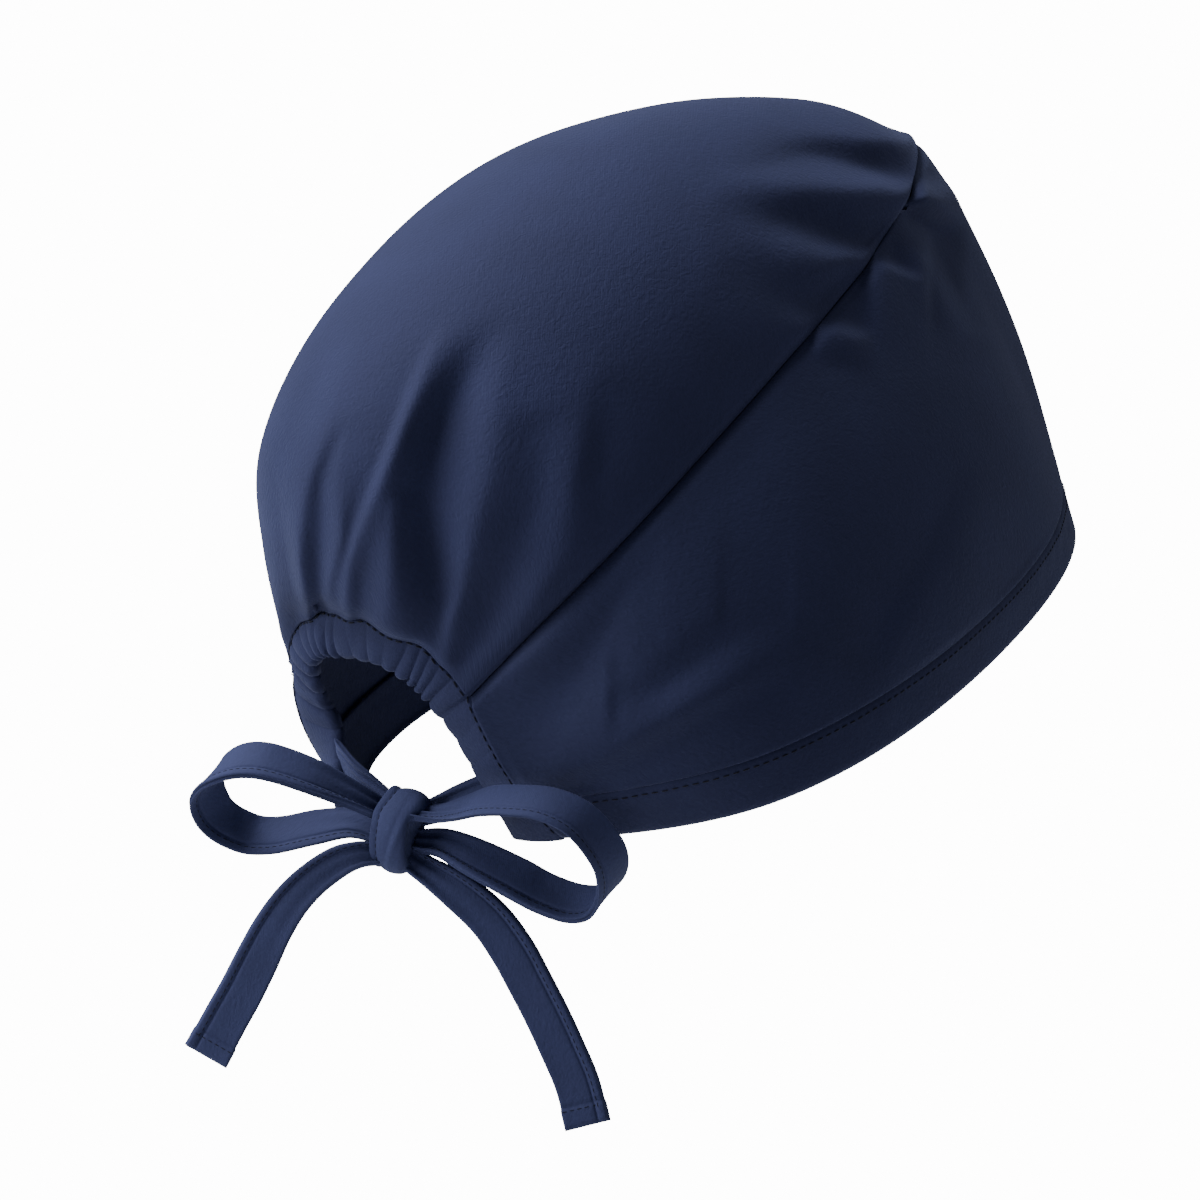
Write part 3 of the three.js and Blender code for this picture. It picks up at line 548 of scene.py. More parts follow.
def cloth_material(name, colour, weave=1.0):
    """Matte cotton twill: fine diagonal ribs, a little fuzz and uneven dye."""
    material = bpy.data.materials.new(name)
    material.use_nodes = True
    nodes, links = material.node_tree.nodes, material.node_tree.links
    shader = nodes["Principled BSDF"]
    shader.inputs["Roughness"].default_value = 0.8
    shader.inputs["Specular IOR Level"].default_value = 0.2
    shader.inputs["Sheen Weight"].default_value = 0.12
    shader.inputs["Sheen Roughness"].default_value = 0.5
    shader.inputs["Sheen Tint"].default_value = (0.5, 0.58, 1.0, 1)

    def texture(kind, vector, **values):
        node = nodes.new(kind)
        for key, value in values.items():
            node.inputs[key.replace("_", " ")].default_value = value
        links.new(vector, node.inputs["Vector"])
        return node

    def scaled(value, factor, added=None):
        node = nodes.new("ShaderNodeMath")
        node.operation = "MULTIPLY" if added is None else "MULTIPLY_ADD"
        node.inputs[1].default_value = factor
        links.new(value, node.inputs[0])
        if added is not None:
            links.new(added, node.inputs[2])
        return node.outputs["Value"]

    place = nodes.new("ShaderNodeUVMap")
    place.uv_map = "weave"
    flat = place.outputs["UV"]
    round_about = nodes.new("ShaderNodeTexCoord").outputs["Object"]
    ribs = texture("ShaderNodeTexWave", flat, Scale=RIBS, Distortion=2.2, Detail=2, Detail_Scale=1.6)
    ribs.bands_direction = "DIAGONAL"
    fuzz = texture("ShaderNodeTexNoise", flat, Scale=FUZZ, Detail=3)
    crepe = texture("ShaderNodeTexNoise", flat, Scale=CREPE, Detail=1, Distortion=1.4)
    dye = texture("ShaderNodeTexNoise", round_about, Scale=DYE, Detail=4)
    ramp = nodes.new("ShaderNodeValToRGB")
    dark, light = linear(*colour), [min(c * LIGHT_YARN, 1) for c in linear(*colour)]
    ramp.color_ramp.elements[0].position = 0.3
    ramp.color_ramp.elements[0].color = [c * 0.9 for c in dark] + [1]
    ramp.color_ramp.elements[1].position = 0.75
    ramp.color_ramp.elements[1].color = light + [1]
    grain = scaled(ribs.outputs["Fac"], 0.3, fuzz.outputs["Fac"])
    tone = scaled(grain, 0.35, scaled(dye.outputs["Fac"], 0.5))
    links.new(tone, ramp.inputs["Fac"])
    links.new(ramp.outputs["Color"], shader.inputs["Base Color"])
    bump = nodes.new("ShaderNodeBump")
    bump.inputs["Strength"].default_value = 0.35 * weave
    bump.inputs["Distance"].default_value = SURFACE_DEPTH
    links.new(scaled(crepe.outputs["Fac"], 3.0, grain), bump.inputs["Height"])
    links.new(bump.outputs["Normal"], shader.inputs["Normal"])
    return material


CROWN_CLOTH = cloth_material("crown_cloth", (39, 44, 77))
SIDE_CLOTH = cloth_material("side_cloth", (37, 42, 74))
HEM_CLOTH = cloth_material("hem_cloth", (36, 41, 73))
CASING_CLOTH = cloth_material("casing_cloth", (39, 44, 77))
# The ties are the cap's navy cloth, painted lighter than the crown: painted light that stands in for the
# brighter light on the bow
TIE_CLOTH_PAINTED_LIGHTER = cloth_material("tie_cloth", (50, 56, 92), 0.7)
THREAD = cloth_material("thread", (15, 17, 32), 0.3)


def dress(piece, node):
    """Puts a piece in place of its solid."""
    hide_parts(node)
    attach(piece, "root")


def stitches(name, points, normals, stitch):
    """Thread lying in dashes along a line of points."""
    pitch, length, radius = stitch
    gaps = np.linalg.norm(np.diff(points, axis=0), axis=1)
    run = np.concatenate([[0], np.cumsum(gaps)])

    def read(rows, at):
        return np.array([np.interp(at, run, rows[:, k]) for k in range(3)])

    sides = 6
    caps = np.array([-1, -0.8, -0.3, 0.3, 0.8, 1.0])
    girth = np.array([0.25, 0.8, 1, 1, 0.8, 0.25])
    verts, faces = [], []
    for start in np.arange(pitch / 2, run[-1] - pitch / 2, pitch):
        centre = read(points, start)
        ahead = read(points, start + 0.4) - centre
        ahead = ahead / np.linalg.norm(ahead)
        up = read(normals, start)
        up = up - ahead * (up @ ahead)
        up = up / np.linalg.norm(up)
        side = np.cross(up, ahead)
        base = len(verts)
        for c, g in zip(caps, girth):
            for k in range(sides):
                a = 2 * math.pi * k / sides
                verts.append(centre + ahead * c * length / 2
                             + (side * math.cos(a) + up * math.sin(a) * 0.6) * radius * g)
        for i in range(len(caps) - 1):
            for k in range(sides):
                a, b = base + i * sides + k, base + i * sides + (k + 1) % sides
                faces.append([a, b, b + sides, a + sides][::-1])
        faces.append([base + k for k in range(sides)])
        faces.append([base + (len(caps) - 1) * sides + k for k in range(sides)][::-1])
    piece = mesh_object(name, np.array(verts), faces, None, THREAD)
    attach(piece, "root")


def outwards(points):
    """Directions away from the middle of the cap, which both cloths share along a seam."""
    return unit(points - INSIDE)


def add_lip(outer, inner):
    """Two more rows before the first, where the edge of the cloth turns in and under its neighbour."""
    edge, out = outer[0], outwards(outer[0])
    away = outer[6] - edge
    away = unit(away - out * dot(away, out))
    low = edge - out * LIP_DEPTH
    foot = low - away * LIP_REACH
    out, away = out * LIP_CLOTH, away * LIP_CLOTH
    face = np.stack([foot, low, edge])
    back = np.stack([foot - out, low - out + away, inner[0] + away])
    return np.concatenate([face, outer[1:]]), np.concatenate([back, inner[1:]])


# The crown

def uneven(*stretches):
    """Numbers over several stretches in a row, each with its own count."""
    parts = [np.linspace(lo, hi, count, endpoint=False) for lo, hi, count in stretches]
    return np.concatenate(parts + [[stretches[-1][1]]])


# The length in millimetres that the tuck at the front reckons the crown to have, and the softening of the
# folds in rows and columns. Rows go from the forehead (0) to the casing (1), columns in degrees across.
CROWN_RUN = 250
CROWN_SOFT = 0.8
CROWN_LENGTHS = uneven((0, 0.2, 56), (0.2, 0.55, 38), (0.55, 1, 64))
CROWN_WIDTHS = uneven((-90, 15, 196), (15, 90, 60))


def crown_surface():
    """The crown's outer face before the cap is worn, with its folds and gathers."""
    place, across = np.meshgrid(CROWN_LENGTHS, CROWN_WIDTHS, indexing="ij")
    base = crown_face(place, across)
    normal = grid_normals(base, base - INSIDE)
    flat, lean = worn(base), unit(worn(base + normal) - worn(base))
    edge = np.radians(90 - np.abs(across)) * np.linalg.norm(base[:, :1] - base[:, -1:], axis=-1) / 2
    far = 1 - step(lean @ TOWARDS, -0.1, 0.15)
    height = relief(flat, lean, [(GATHER_CHART, step(edge, 0, 4.5)), (FRONT_CHART, step(edge, -2, 5))])
    height += far_gathers(place, across) * far * step(edge, 0, 8)
    height += 0.3 * wobble(flat, 60, 3) * step(edge, 0, 10) * step(place, 0, 0.05)
    height = blur(blur(height, CROWN_SOFT).T, CROWN_SOFT).T
    tuck = SEAM_TUCK * (1 - step(edge, 0, SEAM_ROLL) * step(place * CROWN_RUN, 0, SEAM_ROLL))
    return base + normal * height[..., None] - outwards(base) * tuck[..., None]


def make_crown():
    """The crown, with a lip along its front edge and both of its sides. Gives its outer face."""
    crown = crown_surface()
    grids = add_lip(crown, crown - grid_normals(crown, crown - INSIDE) * CLOTH)
    for way in (1, -1):
        grids = add_lip(*(g.swapaxes(0, 1)[::way] for g in grids))
        grids = [g[::way].swapaxes(0, 1) for g in grids]
    piece = shell("crown", worn(grids[0]), worn(grids[1]), CROWN_CLOTH)
    dress(piece, "crown_panel")
    return crown


CROWN_BACK_EDGE = make_crown()[-1]


# The side panel and the hem

# Columns from the casing's right leg (-1) over the forehead (0) to its left leg (1), and roughly the length
# of one half of the panel
PANEL_COLUMNS = uneven((-1, 0, 290), (0, 1, 140))
PANEL_RUN = RIM_LENGTH * 1.3


def around_grid(rows_of):
    """Points of the whole panel, right half mirrored to the left, with their normals, places around and
    heights. rows_of gives the heights, as shares of the panel's, for the places."""
    around = PANEL_COLUMNS[None, :]
    place = 1 - np.abs(around)
    rise = rows_of(place)
    points = side_face(np.broadcast_to(place, rise.shape), rise)
    points[..., 0] *= np.where(around > 0, -1, 1)
    away = points - np.array([0, 0, 1]) * points[..., 2:3] * 0.9
    return points, grid_normals(points, away), np.broadcast_to(around, rise.shape), rise


def panel_surface():
    """The panel's outer face with its folds, and its normals."""
    t = np.linspace(0, 1, 98)[:, None]

    def rows_of(place):
        low = (HEM_WIDTH + 0.1) / seam(place)[..., 2]
        high = 1 - 0.25 / seam(place)[..., 2]
        return low + (high - low) * t

    points, normal, around, rise = around_grid(rows_of)
    flat, lean = worn(points), unit(worn(points + normal) - worn(points))
    tall = seam(1 - np.abs(around))[..., 2]
    top = (1 - rise) * tall
    low = rise * tall - HEM_WIDTH
    leg = (1 - np.abs(around)) * PANEL_RUN
    broad = step(top, 0, 5) * step(low, 0, 3) * step(leg, 0, 6)
    height = relief(flat, lean, [(PANEL_CHART, broad), (EASE_CHART, broad),
                                  (PUCKER_CHART, step(top, -2, 4))])
    height += 0.4 * wobble(flat, 75, 5) * broad
    height = height - 0.3 * (1 - step(low, 0, 0.8))
    tuck = SEAM_TUCK * (1 - step(top, 0, SEAM_ROLL))
    panel = points + normal * height[..., None] - outwards(points) * tuck[..., None]
    return panel, grid_normals(panel, normal)


def make_panel():
    panel, out = panel_surface()
    piece = shell("side", worn(panel), worn(panel - out * CLOTH), SIDE_CLOTH)
    dress(piece, "side_panel")


make_panel()


def hem_surface(top):
    """One face of the hem, from the rim up to the given height, and its normals."""
    t = np.linspace(0, 1, 16)[:, None]
    points, normal, around, rise = around_grid(lambda place: top / seam(place)[..., 2] * t)
    high = rise * seam(1 - np.abs(around))[..., 2]
    tuck = -0.7 * (1 - step(high, 0, 1.4)) - HEM_STEP * step(high, HEM_WIDTH - 1.0, HEM_WIDTH)
    pucker = 0.12 * wobble(worn(points), 9, 7) * step(high, 2, 10)
    return points + normal * (tuck + pucker)[..., None], normal


def make_hem():
    """The hem, whose inner face reaches up behind the panel, and its row of stitches."""
    hem, hem_out = hem_surface(HEM_WIDTH - 0.1)
    inner, out = hem_surface(HEM_WIDTH + HEM_OVERLAP)
    depth = HEM_THICKNESS - 0.2 - HEM_STEP * step(np.linspace(0, 1, len(out)), 0.8, 1)
    piece = shell("hem", worn(hem), worn(inner - out * depth[:, None, None]), HEM_CLOTH)
    dress(piece, "band")
    line, lift = hem[-3], hem_out[-3]
    stitches("hem_stitches", worn(line + lift * 0.12), worn(line + lift) - worn(line), HEM_STITCH)


make_hem()


# The casing round the keyhole

def casing_edges(around):
    """The stitched and the free edge of the casing, from the right leg's foot (-1) to the left leg's (1)."""
    place = 1 - np.abs(around)
    left = (around > 0)[..., None]
    flip = np.where(left, np.array([-1, 1, 1]), np.array([1, 1, 1]))
    leg = side_face(np.zeros_like(place), np.clip(place * 2, 0, 1)) * flip
    across = np.clip(-90 + (place - 0.5) * 180, -90, 0) * np.where(around > 0, -1, 1)
    top = np.stack([np.interp(across, CROWN_WIDTHS, CROWN_BACK_EDGE[:, k]) for k in range(3)], axis=-1)
    blend = step(place, 0.47, 0.53)[..., None]
    outer = leg * (1 - blend) + top * blend
    inner = stack(
        -KEYHOLE("side", place) * KEYHOLE_WIDTH / 2,
        KEYHOLE("back", place, True) * RIM_LENGTH / 2,
        KEYHOLE("up", place, True) * KEYHOLE_HEIGHT,
    )
    inner = inner * flip
    turn = np.where(around > 0, -LEFT_LEG_TURN * (1 - step(place, 0, 0.5)), 0)
    q = inner - outer
    turned = stack(q[..., 0] * np.cos(turn) - q[..., 1] * np.sin(turn),
                   q[..., 0] * np.sin(turn) + q[..., 1] * np.cos(turn), q[..., 2])
    return outer, outer + turned


# Valleys between the ruffles of the casing: share along it from the right leg's foot (-1) over the top (0)
# to the left leg's foot (1) at the stitched edge and at the free edge, and depth in millimetres.
RUFFLES = Table("stitched free depth", [
    (-1.2, -1.2, 0), (-0.9, -0.95, 0.1), (-0.74, -0.85, 0.2), (-0.66, -0.76, 0.35), (-0.565, -0.65, 0.35),
    (-0.5, -0.525, 0.6), (-0.385, -0.435, 1.5), (-0.33, -0.4, 1.2), (-0.29, -0.365, 1.4),
    (-0.255, -0.33, 1.6), (-0.225, -0.265, 1.1), (-0.165, -0.21, 0.4), (-0.095, -0.145, 0.9),
    (-0.03, -0.06, 0.4), (0.015, 0.045, 1.2), (0.05, 0.1, 1.2), (0.1, 0.15, 1.3), (0.15, 0.2, 1.2),
    (0.22, 0.25, 1.3), (0.3, 0.32, 1.5), (0.37, 0.39, 1.5), (0.45, 0.47, 1.2), (0.54, 0.56, 1.0),
    (0.62, 0.65, 0.7), (0.72, 0.75, 0.3), (0.8, 0.83, 0.25), (0.95, 0.97, 0.1), (1.2, 1.2, 0),
])


def ruffle_height(around, front):
    """Bulges between the valleys, which deepen towards the free edge."""
    rows = RUFFLES.rows
    height = np.zeros((len(around), len(front)))
    for j, f in enumerate(front):
        valleys = rows[:, 0] + (rows[:, 1] - rows[:, 0]) * f
        phase = np.interp(around, valleys, np.arange(len(valleys)))
        depth = np.interp(around, valleys, rows[:, 2])
        bulge = np.abs(np.sin(phase * math.pi)) ** 0.6
        height[:, j] = depth * (bulge - 0.65) * (0.25 + 0.75 * f ** 0.7)
    return height


def casing_rings():
    """Rings round the casing, with its front face and that face's normals."""
    around = np.linspace(-1, 1, 640)
    outer, inner = casing_edges(around)
    middle = (outer + inner) / 2
    run = unit(np.gradient(middle, axis=0))
    width = np.linalg.norm(inner - outer, axis=-1)
    across = unit(inner - outer)
    normal = unit(np.cross(run, across))
    normal = normal * np.where(normal[:, 1:2] < 0, -1, 1)
    start = outer + across * 0.15 - normal * CASING_SINK
    front = np.linspace(0, 1, 26)
    face = start[:, None] + across[:, None] * (front[None, :, None] * width[:, None, None])
    puff = CASING_PUFF * np.sin(front * math.pi) ** 0.6
    height = ruffle_height(around, front)
    reach = (height[:, -2] * 0.7)[:, None, None] * (front[None, :, None] ** 3)
    face = face + normal[:, None] * (height + puff[None, :])[..., None] + across[:, None] * reach
    back_at = np.linspace(1.04, -CASING_LAP, 14)
    depth = CASING_THICKNESS - 0.6
    back = start[:, None] + across[:, None] * (back_at[None, :, None] * width[:, None, None])
    spread = reach[:, -1:] * np.clip(back_at, 0, 1)[None, :, None]
    back = back - normal[:, None] * depth + across[:, None] * spread
    tip = face[:, -1:] + across[:, None] * 0.9 - normal[:, None] * (depth * 0.45)
    lap = start[:, None] - normal[:, None] * (depth - 0.5)
    end = lap - across[:, None] * CASING_LAP * width[:, None, None]
    return np.concatenate([face, tip, back, end, lap], axis=1), face, normal


def make_casing():
    rings, face, out = casing_rings()
    piece = tube("casing_gathered", worn(rings), CASING_CLOTH)
    dress(piece, "casing")
    line, lift = face[8:-8, 1], out[8:-8]
    stitches("casing_stitches", worn(line + lift * 0.1), worn(line + lift) - worn(line), CASING_STITCH)


make_casing()


# The bow

KNOT = worn(np.array([KNOT_SIDE, RIM_LENGTH / 2 + KNOT_STANDOFF, KNOT_RISE]))
ACROSS = np.array([-math.cos(BOW_TURN), -math.sin(BOW_TURN), 0])
UP = np.array([0, 0, 1.0])
OUT = np.array([-math.sin(BOW_TURN), math.cos(BOW_TURN), 0])
# Rows of a strand: its centre line as shares of its size, the lean and the skew of its width in degrees,
# and its width as a share of the tie's
STRIP = "across up out lean skew wide"


def bow(across, up, out):
    """Points from the knot's centre, in millimetres across, up and out of the bow."""
    return KNOT + np.multiply.outer(across, ACROSS) + np.multiply.outer(up, UP) + np.multiply.outer(out, OUT)


LEFT_LOOP_ROWS = Table(STRIP, [
    (-0.11, 0.11, 0.04, 40, 8, 0.5),
    (-0.2, 0.19, 0.15, 50, 8, 0.75),
    (-0.33, 0.284, 0.29, 50, 8, 0.95),
    (-0.49, 0.35, 0.38, 49, 6, 1),
    (-0.61, 0.365, 0.415, 48, 0, 1),
    (-0.73, 0.338, 0.418, 47, -8, 1),
    (-0.85, 0.27, 0.39, 46, -18, 1),
    (-0.93, 0.17, 0.33, 45, -28, 1),
    (-0.945, 0.07, 0.256, 44, -32, 1),
    (-0.92, 0.005, 0.2, 43, -28, 1),
    (-0.86, -0.045, 0.146, 42, -20, 1),
    (-0.78, -0.076, 0.098, 41, -10, 1),
    (-0.66, -0.07, 0.07, 39, -2, 1),
    (-0.46, -0.02, 0.05, 38, 3, 0.95),
    (-0.27, 0.01, 0.02, 37, 3, 0.75),
    (-0.108, -0.03, 0.0, 36, 2, 0.5),
])
RIGHT_LOOP_ROWS = Table(STRIP, [
    (0.105, 0.085, 0.02, 64, 4, 0.5),
    (0.2, 0.085, 0.01, 62, 3, 0.6),
    (0.33, 0.12, 0.06, 60, 1, 0.8),
    (0.52, 0.178, 0.175, 59, 0, 1),
    (0.685, 0.197, 0.21, 57, -1, 1),
    (0.828, 0.192, 0.205, 55, -3, 1),
    (0.943, 0.142, 0.165, 53, -10, 1),
    (1.008, 0.05, 0.095, 51, -17, 1),
    (1.028, -0.057, 0.01, 49, -22, 1),
    (0.985, -0.168, -0.08, 47, -22, 1),
    (0.89, -0.258, -0.154, 45, -18, 1),
    (0.765, -0.285, -0.175, 43, -14, 1),
    (0.63, -0.25, -0.153, 42, -12, 1),
    (0.51, -0.187, -0.114, 40, -14, 1),
    (0.337, -0.105, -0.068, 38, -15, 0.9),
    (0.197, -0.055, -0.055, 36, -16, 0.7),
    (0.1, -0.05, -0.04, 34, -17, 0.5),
])
LEFT_TAIL_ROWS = Table(STRIP, [
    (-0.097, -0.11, 0.05, 8, 25, 0.5),
    (-0.155, -0.115, 0.085, 2, 34, 0.62),
    (-0.235, -0.15, 0.12, -6, 43, 0.74),
    (-0.33, -0.225, 0.163, -17, 53, 0.8),
    (-0.412, -0.32, 0.202, -32, 60, 0.86),
    (-0.485, -0.44, 0.233, -48, 65, 0.93),
    (-0.548, -0.575, 0.259, -51, 65, 1),
    (-0.61, -0.71, 0.287, -51, 65, 1.02),
    (-0.67, -0.825, 0.311, -51, 65, 1.03),
    (-0.75, -0.99, 0.35, -51, 65, 1.05),
])
RIGHT_TAIL_ROWS = Table(STRIP, [
    (0.05, -0.113, -0.01, -117, 55, 0.55),
    (0.2, -0.205, -0.04, -110, 62, 0.85),
    (0.314, -0.302, -0.071, -87, 66, 0.95),
    (0.398, -0.41, -0.087, -59, 66, 1),
    (0.463, -0.515, -0.092, -41, 62, 1),
    (0.53, -0.635, -0.101, -36, 60, 1),
    (0.587, -0.745, -0.105, -36, 60, 1),
    (0.641, -0.86, -0.109, -36, 60, 1),
    (0.685, -1.0, -0.104, -36, 60, 1),
])
RIGHT_STRAP_ROWS = Table(STRIP, [
    (0.43, 0.2, -0.146, 0, 13, 0.8),
    (0.26, 0.13, -0.11, 0, 13, 0.7),
    (0.124, 0.075, -0.085, 0, 13, 0.5),
])
LEFT_STRAP_ROWS = Table(STRIP, [
    (-0.442, 0.3, -0.185, 8, 39, 0.95),
    (-0.26, 0.2, -0.1, 8, 39, 0.7),
    (-0.092, 0.12, -0.06, 8, 39, 0.4),
])

# Section of a tie from its folded edge to its open edge: place across it and thickness as a share of its own.
# The two layers are stitched together along a groove beside the open edge, where each ends in a rolled ridge.
# Then: points across a face, the point in the groove, and shares of half the width for the under layer's step
# and the dip between the layers.
TIE_SECTION = Table("at thick", [
    (-1.0, 0.1), (-0.985, 0.55), (-0.95, 0.82), (-0.88, 0.92), (-0.74, 0.88), (-0.5, 0.82), (0.0, 0.8),
    (0.4, 0.8), (0.5, 0.7), (0.56, 0.5), (0.62, 0.68), (0.7, 0.88), (0.8, 0.98), (0.88, 1.0), (0.94, 0.94),
    (0.98, 0.75), (1.0, 0.45),
])
TIE_POINTS = 33
TIE_GROOVE = 22
LAYER_STEP = 0.1
EDGE_DIP = 0.14
# Length of the hem at a free end, and how much wider and thicker it is; the dent where it ends
HEM_OF_TIE = 5.5
HEM_WIDER = 0.04
HEM_THICKER = 0.3
HEM_DENT = 0.45
DENT_WIDTH = 0.45
# How far an end is tucked into the knot or the casing, and the length of strand that moves for it
END_TUCK = 2.4
PULL_REACH = 6
PINCH_RIDGE = 1.1
THREAD_LIFT = 0.02


def strip_frame(rows, size, count):
    """Centre line of a strand, its ways along, across and out of it, and half its width."""
    t = np.linspace(0, 1, count)
    centre = bow(rows("across", t) * size, rows("up", t) * size, rows("out", t) * size)
    run = unit(np.gradient(centre, axis=0))
    lean, skew = np.radians(rows("lean", t)), np.radians(rows("skew", t))
    width = (np.multiply.outer(np.sin(skew), ACROSS) - np.multiply.outer(np.cos(lean) * np.cos(skew), UP)
             + np.multiply.outer(np.sin(lean) * np.cos(skew), OUT))
    width = unit(width - run * dot(width, run))
    return centre, run, width, np.cross(run, width), TIE_WIDTH / 2 * rows("wide", t)


def strip(name, node, rows, size, count, open_side=1, free=0, stitched=True):
    """A flat tie along its rows. Its first end is tucked in, and its last end too or, where free is 1, that
    end is hemmed. open_side tells which way across the open edge lies, 1 or -1."""
    centre, run, width, normal, half = strip_frame(rows, size, count)
    along = np.concatenate([[0], np.cumsum(np.linalg.norm(np.diff(centre, axis=0), axis=1))])
    after = along[-1] - along
    pull = (1 - free) * (1 - step(after, 0, PULL_REACH)) - (1 - step(along, 0, PULL_REACH))
    centre = centre + run * (END_TUCK * pull)[:, None]
    s = TIE_SECTION("at", np.linspace(0, 1, TIE_POINTS))
    thick = TIE_SECTION("thick", np.linspace(0, 1, TIE_POINTS)) * TIE_THICKNESS / 2
    under = s + LAYER_STEP * step(s, 0.5, 1)
    squeeze = np.clip(1 - half / (TIE_WIDTH / 2), 0, 1)
    hem = free * (1 - step(after, HEM_OF_TIE - 0.5, HEM_OF_TIE))
    half = half * (1 + HEM_WIDER * hem)
    dent = free * np.exp(-((after - HEM_OF_TIE) / DENT_WIDTH) ** 2)
    rounded = 0.4 + 0.6 * step(np.minimum(along, after), 0, 1.0)
    swell = (1 + HEM_THICKER * hem - HEM_DENT * dent) * rounded

    def face(places, sign):
        bend = PINCH_RIDGE * squeeze[:, None] * np.cos(places * math.pi * 2.5)[None, :]
        middle = centre[:, None] + width[:, None] * (open_side * places[None, :, None] * half[:, None, None])
        return middle + normal[:, None] * (bend + sign * thick[None, :] * swell[:, None])[..., None]

    top, low = face(s, 1), face(under, -1)
    groove = (top[:, -1:] + low[:, -1:]) / 2 - width[:, None] * (open_side * EDGE_DIP * half[:, None, None])
    piece = tube(name, np.concatenate([top, groove, low[:, ::-1]], axis=1), TIE_CLOTH_PAINTED_LIGHTER)
    dress(piece, node)
    if not stitched:
        return
    for tag, side, sign in (("o", top, 1), ("i", low, -1)):
        ups = normal[4:-4] * sign
        line = side[4:-4, TIE_GROOVE] + ups * THREAD_LIFT
        stitches(f"{name}_stitches_{tag}", line, ups, TIE_STITCH)
        if free:
            row = int(np.argmin(np.abs(after - HEM_OF_TIE + 1)))
            line = side[row, 3:-3] + normal[row] * sign * THREAD_LIFT
            ups = np.broadcast_to(normal[row] * sign, line.shape)
            stitches(f"{name}_hem_{tag}", line, ups, TIE_STITCH)


strip("loop_left", "bow_loop_left", LEFT_LOOP_ROWS, LEFT_LOOP, 170)
strip("loop_right", "bow_loop_right", RIGHT_LOOP_ROWS, RIGHT_LOOP, 190)
strip("end_left", "tail_left", LEFT_TAIL_ROWS, LEFT_TAIL, 150, open_side=-1, free=1)
strip("end_right", "tail_right", RIGHT_TAIL_ROWS, RIGHT_TAIL, 150, free=1)
strip("leg_strap_right", "strap_right", RIGHT_STRAP_ROWS, LEFT_LOOP, 40, open_side=-1, stitched=False)
strip("leg_strap_left", "strap_left", LEFT_STRAP_ROWS, LEFT_LOOP, 40, open_side=-1, stitched=False)

# The knot: a wrap of tie with rolled edges, narrower at its ends.
# across: share of half the knot's width, girth: share of its height and depth.
BARREL = Table("across girth", [
    (-0.95, 0.62), (-1.1, 0.76), (-1.15, 0.87), (-1.1, 0.94), (-0.98, 0.97), (-0.82, 0.97), (-0.68, 0.945),
    (-0.56, 0.975), (-0.35, 1.01), (0.0, 1.03), (0.4, 1.02), (0.75, 0.97), (1.0, 0.87), (1.05, 0.74),
    (0.9, 0.6),
])
# A crease and a ridge aslant over the wrap: place across, slant and width in millimetres, and depth as a
# share of the girth, below zero for the ridge
KNOT_CREASES = [(1.4, 2.6, 0.6, 0.02), (3.2, 3.4, 0.8, -0.03)]
# The ring that carries the wrap's stitches, and how many of its points face out
KNOT_SEAM = 25
KNOT_FRONT = 65


def knot_rings():
    """Rings of the wrap, pulled over to the right at its top."""
    t = np.linspace(0, 1, 60)
    turn = np.linspace(0, 2 * math.pi, 129)[:-1]
    girth, across = BARREL("girth", t)[:, None], BARREL("across", t)[:, None] * KNOT_WIDTH / 2
    top = step(np.sin(turn), 0.3, 1)[None, :]
    across = across + top * (1.2 + 1.8 * t[:, None])
    girth = girth * (1 - 0.1 * top * t[:, None])
    crease = sum(depth * np.exp(-((across - place - slant * np.sin(turn)[None, :]) / wide) ** 2)
                 for place, slant, wide, depth in KNOT_CREASES)
    girth = girth - crease * np.clip(np.cos(turn), 0, 1)[None, :]
    up = np.sin(turn)[None, :] * KNOT_HEIGHT / 2 * girth
    out = np.cos(turn)[None, :] * KNOT_DEPTH / 2 * girth
    leant = across * math.cos(KNOT_LEAN) + up * math.sin(KNOT_LEAN)
    return bow(leant, up * math.cos(KNOT_LEAN) - across * math.sin(KNOT_LEAN), out)


def make_knot():
    rings = knot_rings()
    piece = tube("knot_wrap", rings, TIE_CLOTH_PAINTED_LIGHTER)
    dress(piece, "knot")
    ring = rings[KNOT_SEAM]
    line = np.roll(ring, KNOT_FRONT // 2, axis=0)[:KNOT_FRONT]
    stitches("knot_stitches", line, unit(line - ring.mean(axis=0)), TIE_STITCH)


make_knot()


# Camera, light and floor

SENSOR = 36
data = bpy.data.cameras.new("camera")
data.sensor_width = SENSOR
data.lens = FOCAL_PIXELS / (2 * CENTRE_PIXEL) * SENSOR
data.clip_end = 100
camera = bpy.data.objects.new("camera", data)
bpy.context.scene.collection.objects.link(camera)
turn = Matrix([RIGHT, ABOVE, TOWARDS]).transposed().to_4x4()
turn.translation = ((TARGET + TOWARDS * DISTANCE) * MM).tolist()
camera.matrix_world = turn
bpy.context.scene.camera = camera


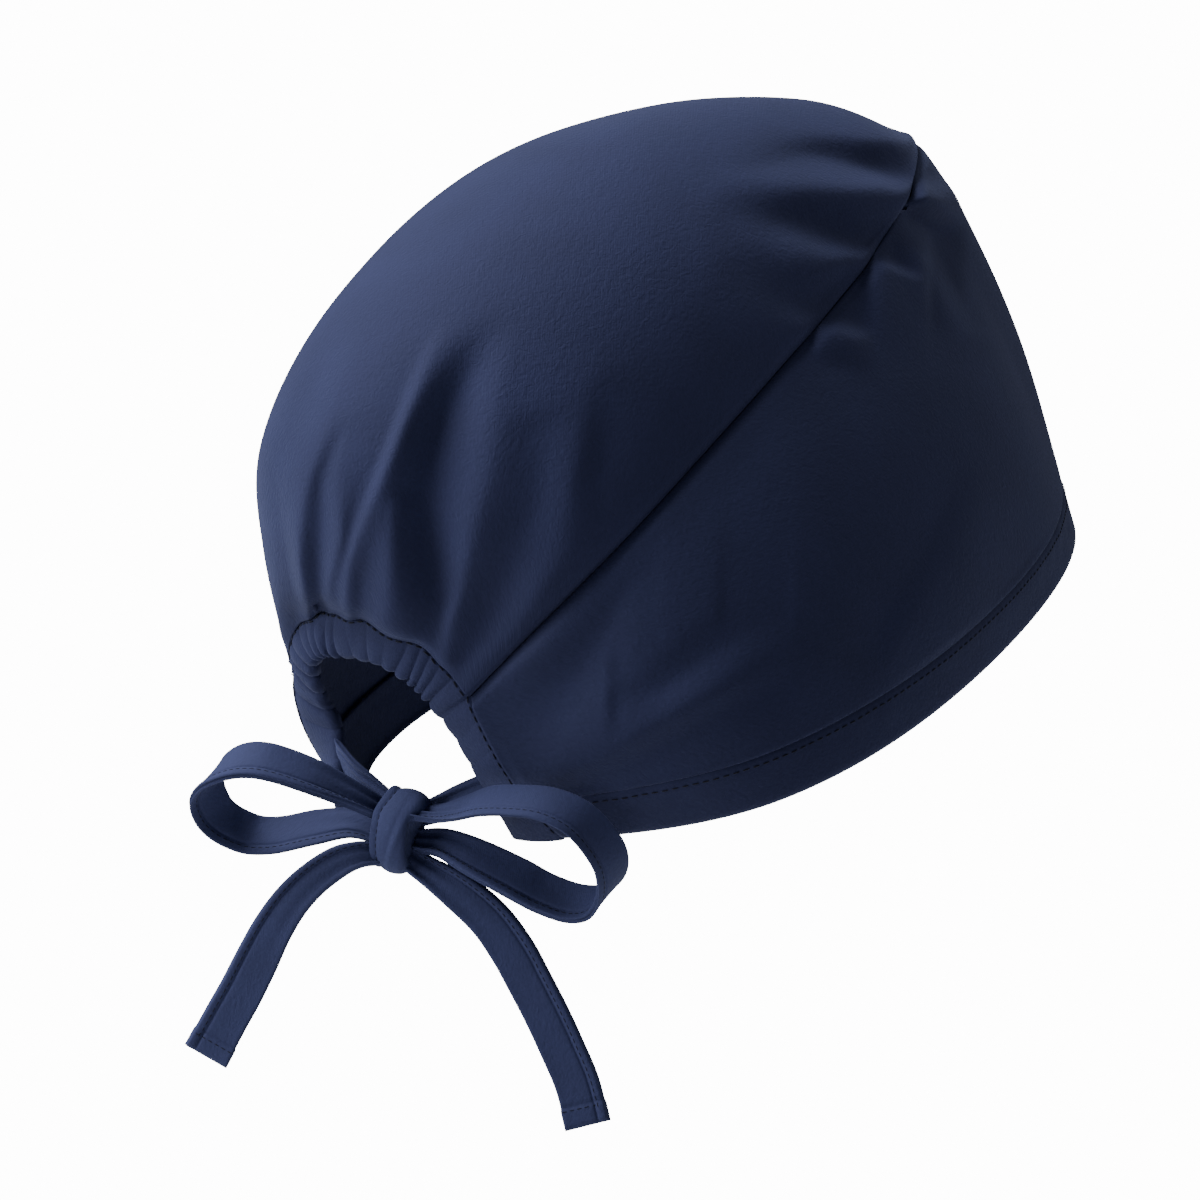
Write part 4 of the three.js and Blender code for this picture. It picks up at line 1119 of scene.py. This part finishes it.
def lamp(name, azimuth, elevation, distance, size, power):
    """A soft square light that faces the cap, placed by its bearing."""
    a, e = math.radians(azimuth), math.radians(elevation)
    way = np.array([math.sin(a) * math.cos(e), -math.cos(a) * math.cos(e), math.sin(e)])
    light = bpy.data.lights.new(name, "AREA")
    light.size = size
    light.energy = power
    thing = bpy.data.objects.new(name, light)
    bpy.context.scene.collection.objects.link(thing)
    side = np.array([math.cos(a), math.sin(a), 0])
    place = Matrix([side, np.cross(way, side), way]).transposed().to_4x4()
    place.translation = (way * distance).tolist()
    thing.matrix_world = place


# Bearings in degrees, distance and size in metres, power in watts
lamp("key", 150, 57, 1.6, 0.8, 31)
lamp("side", 158, 12, 1.7, 0.8, 17)
lamp("front", 330, 35, 2.2, 1.6, 5)

# The camera sees a white backdrop, and the cap gets a dim light from all round
world = bpy.data.worlds.new("studio")
world.use_nodes = True
bpy.context.scene.world = world
nodes, links = world.node_tree.nodes, world.node_tree.links
seen = nodes["Background"]
seen.inputs["Color"].default_value = (1, 1, 1, 1)
seen.inputs["Strength"].default_value = 14.0
dim = nodes.new("ShaderNodeBackground")
dim.inputs["Color"].default_value = (0.92, 0.95, 1, 1)
dim.inputs["Strength"].default_value = 0.17
ray = nodes.new("ShaderNodeLightPath")
mix = nodes.new("ShaderNodeMixShader")
links.new(ray.outputs["Is Camera Ray"], mix.inputs["Fac"])
links.new(dim.outputs["Background"], mix.inputs[1])
links.new(seen.outputs["Background"], mix.inputs[2])
links.new(mix.outputs["Shader"], nodes["World Output"].inputs["Surface"])

FLOOR_DROP = 0.9
FLOOR_RADIUS = 3.0
FLOOR_SIDES = 96
corners = [(FLOOR_RADIUS * math.cos(a), FLOOR_RADIUS * math.sin(a), -FLOOR_DROP)
           for a in np.linspace(0, 2 * math.pi, FLOOR_SIDES + 1)[:-1]]
floor_mesh = bpy.data.meshes.new("floor")
floor_mesh.from_pydata(corners, [], [list(range(len(corners)))])
floor = bpy.data.objects.new("floor", floor_mesh)
bpy.context.scene.collection.objects.link(floor)
paper = bpy.data.materials.new("pale_floor")
paper.use_nodes = True
paint = paper.node_tree.nodes["Principled BSDF"].inputs
paint["Base Color"].default_value = (0.92, 0.92, 0.92, 1)
paint["Emission Color"].default_value = (0.95, 0.97, 1, 1)
paint["Emission Strength"].default_value = 0.2
paint["Roughness"].default_value = 0.9
floor.data.materials.append(paper)
